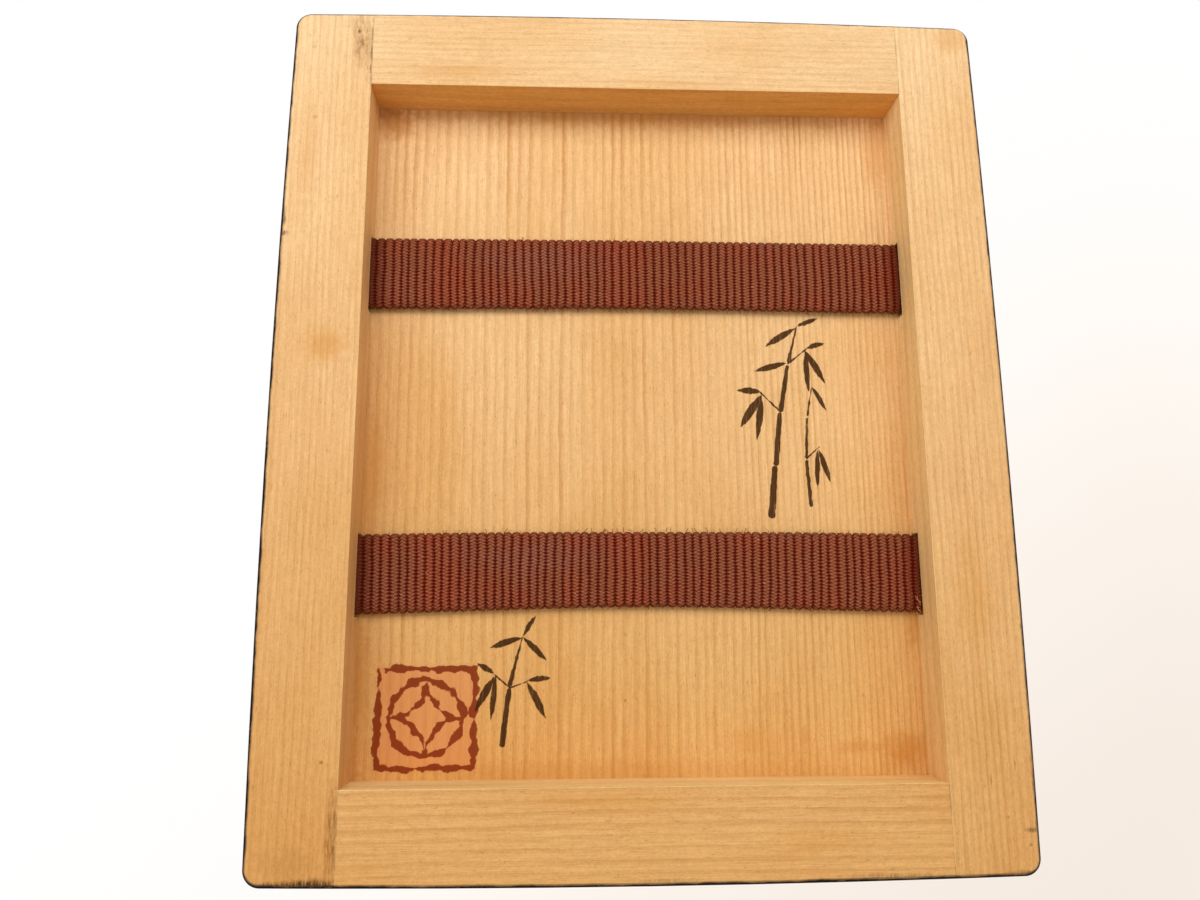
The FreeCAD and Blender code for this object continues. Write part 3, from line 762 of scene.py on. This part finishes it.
ribbon = {
    "width": 9.1,
    "thick": 1.1,
    "ribPitch": 1.02,
    "ringsPerRib": 6,
    "columns": 14,          # strips across each face
    "ribHeight": 0.18,
    "scallop": 0.26,        # how far a rib stands out past the selvedge
    "bow": 0.09,            # how far a rib bends out of true
    "wobble": 0.09,         # how far it wavers besides, over short stretches
    "uneven": 0.2,          # how unevenly the ribs are spaced
    "low": 4.4,             # underside of the runs under the bottom
    "gap": 0.25,            # from the ribbon to the wood that it lies on
    "place": 18.6,          # middle of a run under the bottom, from the box's middle
    "lidPlace": 13.0,       # the same at the lid's edge
    "slotTurn": 0.85,
    "lidTurn": 2.05,
    "swayTurn": 900,        # radius of the slight bend in a run under the bottom
    "gathered": 4.4,        # width where it goes into the knot
    "fold": 0.55,           # height of its folds there
    "knotGap": 0.1,         # from the box's middle to the edge of a pass at the knot
    "swayNarrowing": 0.5,   # how much narrower it is where it sways, for each millimetre of sway
    "faceShift": 11,        # sets the two faces apart in the pattern
}
halfThick = ribbon["thick"] / 2


# A route of straight runs joined by arcs, read by the distance along it. Each corner is a point
# and the radius of the arc that rounds it.
class Route:
    def __init__(self, corners, arcPoints=16):
        points = [Vector(corners[0][0])]
        for (before, _), (corner, radius), (after, _) in zip(corners, corners[1:], corners[2:]):
            before, corner, after = Vector(before), Vector(corner), Vector(after)
            incoming = (corner - before).normalized()
            outgoing = (after - corner).normalized()
            turn = incoming.angle(outgoing)
            start = corner - incoming * radius * math.tan(turn / 2)
            centre = corner + (outgoing - incoming).normalized() * radius / math.cos(turn / 2)
            axis = incoming.cross(outgoing)
            for number in range(arcPoints + 1):
                turned = Matrix.Rotation(turn * number / arcPoints, 3, axis)
                points.append(centre + turned @ (start - centre))
        points.append(Vector(corners[-1][0]))
        self.points = points
        self.marks = [0.0]
        for first, second in zip(points, points[1:]):
            self.marks.append(self.marks[-1] + (second - first).length)
        self.length = self.marks[-1]

    def spot(self, distance):
        number = min(max(bisect_right(self.marks, distance) - 1, 0), len(self.points) - 2)
        first, second = self.points[number], self.points[number + 1]
        share = (distance - self.marks[number]) / (self.marks[number + 1] - self.marks[number])
        return first.lerp(second, share)

    def frame(self, distance, across):
        reach = 0.12
        tangent = (self.spot(distance + reach) - self.spot(distance - reach)).normalized()
        across = (across - tangent * tangent.dot(across)).normalized()
        return self.spot(distance), across, across.cross(tangent)


# Round the ribbon's section: the place of each point across the ribbon, from -1 to 1, and the side
# of the face that it is on. They are closer together near the selvedges.
def sectionPlaces():
    columns = ribbon["columns"]
    face = [math.sin(math.pi / 2 * (2 * column / columns - 1) * 0.96) for column in range(columns + 1)]
    face = [place / face[-1] for place in face]
    return [(place, 1) for place in face] + [(place, -1) for place in face[-2:0:-1]]


# The skin of a closed tube of rings that have the same number of points each.
def tubeFaces(rings, count):
    faces = []
    for ring in range(rings - 1):
        for number in range(count):
            after = (number + 1) % count
            faces.append((ring * count + number, ring * count + after,
                          (ring + 1) * count + after, (ring + 1) * count + number))
    faces.append(tuple(range(count))[::-1])
    faces.append(tuple((rings - 1) * count + number for number in range(count)))
    return faces


# Weaves a closed ribbon along a route. widthAt gives its width and liftAt its folds, both by the
# distance along the route, and liftAt also by the place across it, from -1 to 1.
def weaveRibbon(name, route, across, widthAt, liftAt, seed):
    randomly = random.Random(seed)
    ribs = round(route.length / ribbon["ribPitch"])
    perRib = ribbon["ringsPerRib"]
    rings = ribs * perRib + 1
    step = route.length / (ribs * perRib)
    heights = [ribbon["ribHeight"] * randomly.uniform(0.85, 1.15) for _ in range(ribs + 1)]
    uneven = [noise.noise(Vector((ring * step * 0.45, seed * 3.1, 0.0))) for ring in range(rings)]
    uneven[0] = uneven[-1] = 0.0
    section = sectionPlaces()
    vertices = []
    weave = []
    for ring in range(rings):
        phase = ring % perRib / perRib
        rounding = math.sqrt(1 - (2 * phase - 1) ** 2)
        sink = heights[ring // perRib] * (1 - rounding)
        for place, side in section:
            drift = noise.noise(Vector((ring * step * 0.09, place * 0.9, seed * 7.3)))
            wobble = noise.noise(Vector((ring * step * 0.7, place * 3.0, seed * 5.9)))
            distance = ring * step + drift * ribbon["bow"] * 2 + wobble * ribbon["wobble"]
            distance += uneven[ring] * ribbon["uneven"]
            centre, sideways, normal = route.frame(distance, across)
            edge = math.sqrt(max(1 - abs(place) ** 7, 0.0))
            height = side * (halfThick - sink) * edge + liftAt(distance, place)
            reach = place * (widthAt(distance) / 2 + ribbon["scallop"] * (rounding - 0.5))
            vertices.append((centre + sideways * reach + normal * height) * mm)
            fromMiddle = place * ribbon["width"] / 2
            weave += [ring * step, fromMiddle + side * ribbon["faceShift"], ring / perRib]
    piece = addPiece(name, vertices, tubeFaces(rings, len(section)))
    piece.data.shade_smooth()
    pattern = piece.data.attributes.new("weave", "FLOAT_VECTOR", "POINT")
    pattern.data.foreach_set("vector", weave)
    piece.data.materials.append(ribbonMaterial)
    return piece


def ease(value):
    value = min(max(value, 0.0), 1.0)
    return value * value * (3 - 2 * value)


ribbonDye = {
    "brown": tint(133, 70, 44),
    "red": tint(138, 62, 38),
    "dusty": tint(136, 79, 60),
    # The painted highlight on the rib crests.
    "light": tint(184, 120, 92),
    # The dark of the creases between the ribs, partly the weave's own and partly painted shade; it also
    # paints the shade at the slots.
    "valleyShade": tint(80, 10, 0),
    "fluff": tint(206, 160, 130),
    "selvedge": tint(108, 56, 24),
    "yarnPitch": 0.4,
    "firstYarn": 200,        # the number of the yarn at the ribbon's middle
    "roughness": 0.85,
    "shine": 0.05,
    "relief": 0.06,          # how deep the yarns are
    "sheen": 0.03,
    "sheenRoughness": 0.5,
    "sheenTint": tint(226, 150, 110),
}


# Fine yarns run along the ribbon over every rib and dip by turns between the ribs, which draws the dark
# lines between the ribs as zigzags. These lines are partly painted shade in the creases between the
# ribs, and the middles of the yarns and the crests of the ribs are lightened as painted highlights.
def ribbonFinish():
    finish = newFinish("ribbon")
    weave = finish.node("ShaderNodeAttribute", {"attribute_name": "weave"}, None, 1)
    _, sideways, rib = finish.split(weave)
    cycle = finish.math("FRACT", rib)
    stray = finish.noise(weave, (1.3, 1.7, 2.0), 2.0) - 0.5
    parity = finish.math("MODULO", finish.math("FLOOR", rib + 0.5), 2.0)
    yarn = sideways / ribbonDye["yarnPitch"] + parity * 0.5 + stray + ribbonDye["firstYarn"]
    strand = 1 - abs(finish.math("FRACT", yarn) - 0.5) * 2
    fromValley = finish.math("MINIMUM", cycle, 1 - cycle)
    loose = finish.noise(weave, (0.7, 0.34, 1.0), 2.0)
    reach = finish.smooth(strand, 0.75, 0.3) * 0.17 + loose * 0.26 - 0.08
    valleyShade = finish.smooth(fromValley - reach, 0.04, -0.03)
    fibres = finish.noise(weave, (0.5, 0.09, 4.0), 3.0, 0.6)
    patch = finish.noise(weave, (11.0, 7.0, 40.0), 3.0)
    worn = finish.noise(finish.vector("ADD", weave, (70.0, 5.0, 9.0)), (14.0, 5.0, 60.0), 3.0)
    own = finish.chance(finish.math("FLOOR", rib))
    reddened = finish.smooth(patch + own * 0.16, 0.48, 0.76)
    colour = finish.mix(reddened, ribbonDye["brown"], ribbonDye["red"])
    colour = finish.mix(finish.smooth(worn, 0.46, 0.7) * 0.7, colour, ribbonDye["dusty"])
    # The middle of each yarn is lightened: partly the yarn's own colour, partly painted highlight.
    colour = finish.lighten(colour, fibres * 0.5 + loose * 0.3 + own * 0.12 + strand * 0.5 + 0.24)
    raised = finish.smooth(strand + (fibres - 0.5) * 1.6, 0.4, 0.9)
    # Painted highlight on the rib crests, away from the creases.
    crestHighlight = finish.smooth(fromValley, 0.1, 0.35) * raised
    colour = finish.mix(crestHighlight * 0.38, colour, ribbonDye["light"])
    x, _, z = finish.split(finish.place())
    # Painted shade on the ribbon where it runs into the slots in the walls.
    slotShade = finish.smooth(abs(abs(x) - innerHalfX), 2.4, 0.1) * finish.smooth(z, 7.0, 6.0)
    colour = finish.mix(slotShade * 0.6, colour, ribbonDye["valleyShade"])
    # The dark zigzag lines in the creases between the ribs: partly the weave's own, partly painted
    # shade.
    colour = finish.mix(valleyShade * 0.9, colour, ribbonDye["valleyShade"])
    fromMiddle = abs(abs(sideways) - ribbon["faceShift"])
    frayed = finish.smooth(fromMiddle + (loose - 0.5) * 0.8, 3.9, 4.6)
    colour = finish.mix(frayed * 0.5, colour, ribbonDye["selvedge"])
    fluff = finish.smooth(finish.noise(weave, (0.34, 0.3, 1.0), 0.0), 0.82, 0.88)
    colour = finish.mix(fluff * 0.5, colour, ribbonDye["fluff"])
    inputs = {"Height": strand * 1.1 + fibres * 0.7 - valleyShade * 0.9, "Distance": ribbonDye["relief"] * mm}
    finish.surface({
        "Base Color": colour,
        "Roughness": ribbonDye["roughness"],
        "Specular IOR Level": ribbonDye["shine"],
        "Sheen Weight": ribbonDye["sheen"],
        "Sheen Roughness": ribbonDye["sheenRoughness"],
        "Sheen Tint": ribbonDye["sheenTint"],
        "Normal": finish.node("ShaderNodeBump", None, inputs),
    })
    return finish.owner


bow = {
    "knotLength": 10.0,
    "knotWidth": 9.6,
    "knotHeight": 5.8,
    "knotTurn": 1.25,
    "knotOverlap": 0.6,      # how far each end of the knot's own turn runs past its middle
    "knotTuck": 1.2,         # how far the passes run in under it
    "knotNarrowing": 0.9,
    "knotCrown": 0.28,
    "knotCrease": 0.16,
    "loopReach": 31.0,
    "loopHeight": 5.2,
    "loopTurn": 9.0,         # degrees from the ribbon's line towards the rear
    "loopPinch": 5.4,
    "loopSwell": 0.22,
    "loopFold": 0.32,
    "loopOpening": 14,       # from the knot to where a loop has its full width
    "tailReach": (19.0, -33.0),
    "tailStart": (1.9, -3.4),
    "tailPinch": 5.2,
    "tailFold": 0.4,
    "tailOpening": 15,
}
knotStart = bow["knotLength"] / 2 - bow["knotTuck"]

# The two passes of the ribbon: the side of the box's middle that each is on, its seed, how far its
# run under the bottom is shifted, and how far the middle of that run sways.
passes = {
    "front": {"sign": -1, "seed": 5, "shift": -0.12, "sway": 0.9},
    "rear": {"sign": 1, "seed": 12, "shift": 0.12, "sway": 0.3},
}


# Each pass of the ribbon runs from the knot over the lid's left edge, down into the left slot,
# under the bottom, out through the right slot and up again to the knot.
def tiePass(end):
    sign, shift, sway = passes[end]["sign"], passes[end]["shift"], passes[end]["sway"]
    outX = caseHalfX + ribbon["gap"] + halfThick
    onLid = lidTop + ribbon["gap"] + halfThick
    overEdge = onLid - outline["lidCrown"]
    knotY = (ribbon["knotGap"] + ribbon["gathered"] / 2) * sign
    sunken = ribbon["low"] + halfThick
    half = [
        ((knotStart, knotY, onLid), 0),
        ((outX, ribbon["lidPlace"] * sign, overEdge), ribbon["lidTurn"]),
        ((outX, ribbon["place"] * sign + shift, sunken), ribbon["slotTurn"]),
    ]
    mirrored = [((-x, y, z), radius) for (x, y, z), radius in half]
    under = ((0, ribbon["place"] * sign + shift + sway, sunken), ribbon["swayTurn"])
    route = Route(mirrored + [under] + half[::-1])
    taper = math.hypot(outX - knotStart, ribbon["lidPlace"] - abs(knotY))

    def fromKnot(distance):
        return min(distance, route.length - distance) / taper

    def widthAt(distance):
        spread = (ribbon["width"] - ribbon["gathered"]) * min(1.0, fromKnot(distance))
        nearMiddle = 1 - ease(abs(distance - route.length / 2) / 30)
        narrowing = ribbon["swayNarrowing"] * sway * nearMiddle
        return ribbon["gathered"] + spread - narrowing

    def liftAt(distance, place):
        fold = 0.5 - 0.5 * math.cos(math.pi * (2.2 * place + 0.3 * sign))
        return ribbon["fold"] * fold * (1 - ease(fromKnot(distance))) ** 1.5

    name = f"ribbon_{end}"
    piece = weaveRibbon(name, route, Vector((0, 1, 0)), widthAt, liftAt, passes[end]["seed"])
    replaced = [
        f"ribbon_bottom_{end}", f"ribbon_riser_{end}_left", f"ribbon_riser_{end}_right",
        f"ribbon_top_{end}_left", f"ribbon_top_{end}_right",
    ]
    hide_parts(*replaced)
    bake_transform(piece)
    print(name, "length in mm:", round(route.length, 1))
    return route.length


# The knot is one turn of ribbon round all the rest: underneath, over the top and back underneath.
def tieKnot():
    low = lidTop + ribbon["gap"] + halfThick
    high = low - 2 * halfThick + bow["knotHeight"]
    side = bow["knotWidth"] / 2 - halfThick
    turn = bow["knotTurn"]
    overlap = bow["knotOverlap"]
    route = Route([
        ((0, overlap, low), 0), ((0, -side, low), turn), ((0, -side, high), turn),
        ((0, side, high), turn), ((0, side, low), turn), ((0, -overlap, low), 0),
    ])
    topMiddle = route.length / 2

    def widthAt(distance):
        return ribbon["width"] - bow["knotNarrowing"] * (1 - ease(abs(distance - topMiddle) / 7))

    def liftAt(distance, place):
        crown = bow["knotCrown"] * (1 - place * place)
        crease = bow["knotCrease"] * math.sin(3.6 * place + distance * 0.25)
        return -(crown + crease) * (1 - ease(abs(distance - topMiddle) / 9))

    piece = weaveRibbon("bow_knot_ribbon", route, Vector((1, 0, 0)), widthAt, liftAt, 31)
    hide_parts("bow_knot")
    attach(piece, "lid")
    return route.length


# A loop goes out from the knot, turns over and comes back above itself.
def tieLoop(side, degrees, seed):
    angle = math.radians(degrees)
    outwards = Vector((math.cos(angle), math.sin(angle), 0))
    across = Vector((-math.sin(angle), math.cos(angle), 0))
    low = lidTop + 2 * ribbon["gap"] + ribbon["thick"] + halfThick
    high = low + bow["loopHeight"] - ribbon["thick"]
    turn = (high - low) / 2 * 0.98
    tip = bow["loopReach"] - halfThick
    corners = [
        ((2.4, low + 0.9), 0), ((9.0, low + 0.05), 30), ((tip, low), turn), ((tip, high), turn),
        ((15.0, high - 0.25), 30), ((5.5, high - 1.9), 12), ((2.4, high - 2.0), 0),
    ]
    route = Route([(outwards * reach + Vector((0, 0, height)), radius)
                   for (reach, height), radius in corners])

    def openness(distance):
        return ease(min(distance, route.length - distance) / bow["loopOpening"])

    def widthAt(distance):
        return bow["loopPinch"] + (ribbon["width"] - bow["loopPinch"]) * openness(distance)

    def liftAt(distance, place):
        fold = math.cos(math.pi * 1.5 * place) - 0.2
        swell = math.sin(math.pi * distance / route.length) * bow["loopSwell"] * (1 - place * place)
        return bow["loopFold"] * fold * (1 - openness(distance)) ** 1.4 - swell

    piece = weaveRibbon(f"bow_loop_ribbon_{side}", route, across, widthAt, liftAt, seed)
    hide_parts(f"bow_loop_{side}")
    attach(piece, "lid")
    return route.length


# A tail comes out of the knot, lifts a little off the lid and lies down towards its cut end.
def tieTail(side, sign, seed):
    onLid = lidTop + ribbon["gap"] + halfThick
    start = Vector((bow["tailStart"][0] * sign, bow["tailStart"][1], onLid + 0.75))
    end = Vector((bow["tailReach"][0] * sign, bow["tailReach"][1], onLid - 0.3))
    corners = [(start, 0)]
    for share, lift, radius in ((0.22, 0.25, 14), (0.45, 1.35, 16), (0.7, 0.35, 18), (0.88, 0.55, 12)):
        spot = start.lerp(end, share)
        bend = 0.7 * sign * math.sin(math.pi * share)
        corners.append(((spot.x + bend, spot.y, onLid - 0.3 * share + lift), radius))
    route = Route(corners + [(end, 0)])
    direction = (end - start).normalized()

    def openness(distance):
        return ease(distance / bow["tailOpening"])

    def widthAt(distance):
        return bow["tailPinch"] + (ribbon["width"] - bow["tailPinch"]) * openness(distance)

    def liftAt(distance, place):
        fold = 0.5 + 0.5 * math.cos(math.pi * 1.6 * place)
        return bow["tailFold"] * fold * (1 - openness(distance))

    across = direction.cross(Vector((0, 0, 1))) * -1
    piece = weaveRibbon(f"bow_tail_ribbon_{side}", route, across, widthAt, liftAt, seed)
    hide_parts(f"bow_tail_{side}")
    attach(piece, "lid")
    return route.length


def tieRibbon():
    lengths = [tiePass(end) for end in passes]
    lengths.append(tieKnot())
    lengths.append(tieLoop("right", bow["loopTurn"], 41))
    lengths.append(tieLoop("left", 180 - bow["loopTurn"], 47))
    lengths.append(tieTail("right", 1, 53))
    lengths.append(tieTail("left", -1, 59))
    return sum(lengths)


fray = {
    "fibres": 420,           # along the selvedges under the bottom
    "rearShare": 0.25,       # how many of them are on the rear selvedge of their run
    "thick": 0.07,
    "threads": 9,            # longer ones at the left slot of the front run
    "threadThick": 0.08,
    "swayBy": {-1: 0.75, 1: 0.25},    # how far they follow the sway of each run, by its side
    "brown": tint(120, 52, 26),
    "pale": tint(206, 132, 84),
    "roughness": 0.9,
}


# Adds a thin three-sided fibre through some points.
def addFibre(vertices, faces, points, thick):
    first = len(vertices)
    for before, point, after in zip(points[:1] + points, points, points[1:] + points[-1:]):
        ahead = after - before
        side = ahead.orthogonal().normalized() * thick / 2
        for turn in range(3):
            vertices.append((point + Matrix.Rotation(turn * math.tau / 3, 3, ahead) @ side) * mm)
    for number in range(len(points) - 1):
        for turn in range(3):
            here, after = first + number * 3 + turn, first + number * 3 + (turn + 1) % 3
            faces.append((here, after, after + 3, here + 3))
    faces.append((first + 2, first + 1, first))
    faces.append((len(vertices) - 3, len(vertices) - 2, len(vertices) - 1))


def makeFray(name, colour, strands, thick):
    vertices, faces = [], []
    for points in strands:
        addFibre(vertices, faces, points, thick)
    piece = addPiece(name, vertices, faces)
    finish = newFinish(name)
    finish.surface({
        "Base Color": colour,
        "Roughness": fray["roughness"],
        "Specular IOR Level": ribbonDye["shine"],
    })
    piece.data.materials.append(finish.owner)
    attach(piece, "case")


def frayRibbon():
    randomly = random.Random(77)
    strands = []
    for _ in range(fray["fibres"]):
        end = randomly.choice((1, -1))
        outwards = 1 if randomly.random() < fray["rearShare"] else -1
        x = randomly.uniform(-innerHalfX + 0.4, innerHalfX - 0.4)
        sway = fray["swayBy"][end] * (1 - ease(abs(x) / 45))
        y = ribbon["place"] * end + sway + outwards * (ribbon["width"] / 2 - 0.25)
        root = Vector((x, y, randomly.uniform(4.5, 5.3)))
        lean = Vector((randomly.uniform(-0.5, 0.5),
                       outwards * randomly.uniform(0.25, 0.6), randomly.uniform(-0.3, 0.1)))
        bend = Vector((randomly.uniform(-0.15, 0.15), 0, randomly.uniform(-0.1, 0.1)))
        strands.append([root, root + lean * 0.5 + bend, root + lean])
    makeFray("ribbon_fuzz", fray["brown"], strands, fray["thick"])
    strands = []
    corner = Vector((-innerHalfX + 0.3, -ribbon["place"] - ribbon["width"] / 2 + 0.1, ribbon["low"]))
    for _ in range(fray["threads"]):
        root = corner + Vector((randomly.uniform(-0.1, 0.25), randomly.uniform(-0.1, 1.9), 0.1))
        lean = Vector((randomly.uniform(-0.1, 0.25),
                       randomly.uniform(-0.7, 0.5), -randomly.uniform(0.1, 0.35)))
        bend = Vector((randomly.uniform(0.0, 0.25), randomly.uniform(-0.2, 0.2), -0.1))
        strands.append([root, root + lean * 0.4 + bend, root + lean, root + lean * 1.25 - bend])
    makeFray("ribbon_threads", fray["pale"], strands, fray["threadThick"])


# Soft studio light. The lamps below the floor light the bottom, which the photograph shows. Places
# and sizes are in metres, and the power is in watts.
lamps = {
    "underKey": {
        "place": (0.0, 0.14, -0.24), "size": (0.6, 0.16), "power": 0.85, "colour": (1.0, 1.01, 1.05),
    },
    "underSide": {
        "place": (0.3, -0.03, -0.2), "size": (0.2, 0.4), "power": 0.29, "colour": (1.0, 1.0, 1.0),
    },
    "underFill": {
        "place": (0.0, -0.12, -0.4), "size": (0.5, 0.4), "power": 0.285, "colour": (1.0, 0.84, 0.63),
    },
    "topKey": {
        "place": (-0.35, -0.55, 0.75), "size": (0.6, 0.6), "power": 7.0, "colour": (1.0, 1.0, 1.0),
    },
    "topRear": {
        "place": (0.5, 0.5, 0.6), "size": (0.6, 0.6), "power": 3.5, "colour": (1.0, 1.0, 1.0),
    },
}
sky = {
    "level": 0.34,           # how much light it gives, where 1 is the white that it shows
    "white": (1.0, 1.0, 1.0, 1.0),
    "warm": tint(255, 248, 240),
    "lower": tint(244, 232, 222),
}


def makeLamps():
    for name, lamp in lamps.items():
        data = bpy.data.lights.new(name, "AREA")
        data.shape = "RECTANGLE"
        data.size, data.size_y = lamp["size"]
        data.energy = lamp["power"]
        data.color = lamp["colour"]
        made = bpy.data.objects.new(name, data)
        made.location = lamp["place"]
        made.rotation_euler = Vector(lamp["place"]).to_track_quat("Z", "Y").to_euler()
        made.visible_camera = False
        made.visible_glossy = False
        bpy.context.scene.collection.objects.link(made)


# 1 for the rays that see the backdrop, and 0 for those that carry its light.
def seenRays(finish):
    path = finish.node("ShaderNodeLightPath").socket.node.outputs
    names = ("Is Camera Ray", "Is Glossy Ray", "Is Transmission Ray")
    return finish.highest([Wire(finish, path[name]) for name in names])


# The world lights everything evenly, and shows white, a little warmer towards the box's front left.
def makeSky():
    world = bpy.data.worlds.new("studio")
    bpy.context.scene.world = world
    finish = Finish(world)
    direction = finish.node("ShaderNodeTexCoord", output=0)
    x, y, z = finish.split(direction)
    lower = finish.smooth(x * -0.9 - y * 1.1, -0.4, 0.9) * finish.smooth(z, 0.6, 0.85)
    shown = finish.mix(finish.smooth(lower, 0.0, 0.6), sky["white"], sky["warm"])
    shown = finish.mix(finish.smooth(lower, 0.35, 1.1), shown, sky["lower"])
    level = seenRays(finish) * (1 - sky["level"]) + sky["level"]
    backdrop = finish.node("ShaderNodeBackground", None, {"Color": shown, "Strength": level})
    finish.node("ShaderNodeOutputWorld", None, {"Surface": backdrop})


floor = {
    "half": 3000,            # from its middle to its edges
    "drop": 0.1,             # just clear of the feet
    "fade": (120, 420),      # between these distances it gives way to the white backdrop
    "colour": tint(238, 235, 230),
}


# The floor can't be seen from below and casts no shadow on the bottom of the box.
def makeFloor():
    half = floor["half"] * mm
    corners = [(-half, -half, 0), (half, -half, 0), (half, half, 0), (-half, half, 0)]
    piece = addPiece("floor", corners, [(0, 1, 2, 3)])
    piece.location.z = -floor["drop"] * mm
    piece.visible_shadow = False
    piece.visible_diffuse = False
    finish = newFinish("floor")
    paper = finish.node("ShaderNodeBsdfDiffuse", None, {"Color": floor["colour"]})
    white = finish.node("ShaderNodeEmission", None, {"Color": sky["white"]})
    clear = finish.node("ShaderNodeBsdfTransparent")
    away = finish.vector("LENGTH", finish.place(), output=1)
    far = finish.smooth(away, *floor["fade"]) * seenRays(finish)
    behind = finish.node("ShaderNodeNewGeometry", output=6)
    shader = finish.node("ShaderNodeMixShader", None, {0: far, 1: paper, 2: white})
    shader = finish.node("ShaderNodeMixShader", None, {0: behind, 1: shader, 2: clear})
    finish.node("ShaderNodeOutputMaterial", None, {"Surface": shader})
    piece.data.materials.append(finish.owner)


# Battens whose grain runs the same way are from different places in the timber, which the length
# of their names sets.
def dressBoards():
    finishes = {board: wallFinish(board) for board in walls}
    finishes["bottom_board"] = bottomFinish()
    finishes["lid_board"] = lidFinish()
    cornerPegs = bareFinish("peg_wood", "X", (9.0, 2.0, 4.0), 0.6)
    lidPegs = bareFinish("lid_peg_wood", "Y", (19.0, 2.0, 14.0), 0.6)
    for node in nodes:
        if node.startswith("lid_batten"):
            runs = "Y" if node.endswith(("left", "right")) else "X"
            finishes[node] = bareFinish(node, runs, (len(node) * 1.7, 33.0, 12.0))
        elif node.startswith("corner_pegs"):
            finishes[node] = cornerPegs
        elif node.startswith("lid_pegs"):
            finishes[node] = lidPegs
    for node, material in finishes.items():
        nodes[node].material_slots[0].material = material


makeCamera()
makeFloor()
makeLamps()
makeSky()
bpy.context.scene.view_settings.view_transform = "Standard"
print("stage set")

dressBoards()
print("wood finished")

ribbonMaterial = ribbonFinish()
tiedLength = tieRibbon()
frayRibbon()
print("ribbon tied, length in mm:", round(tiedLength))
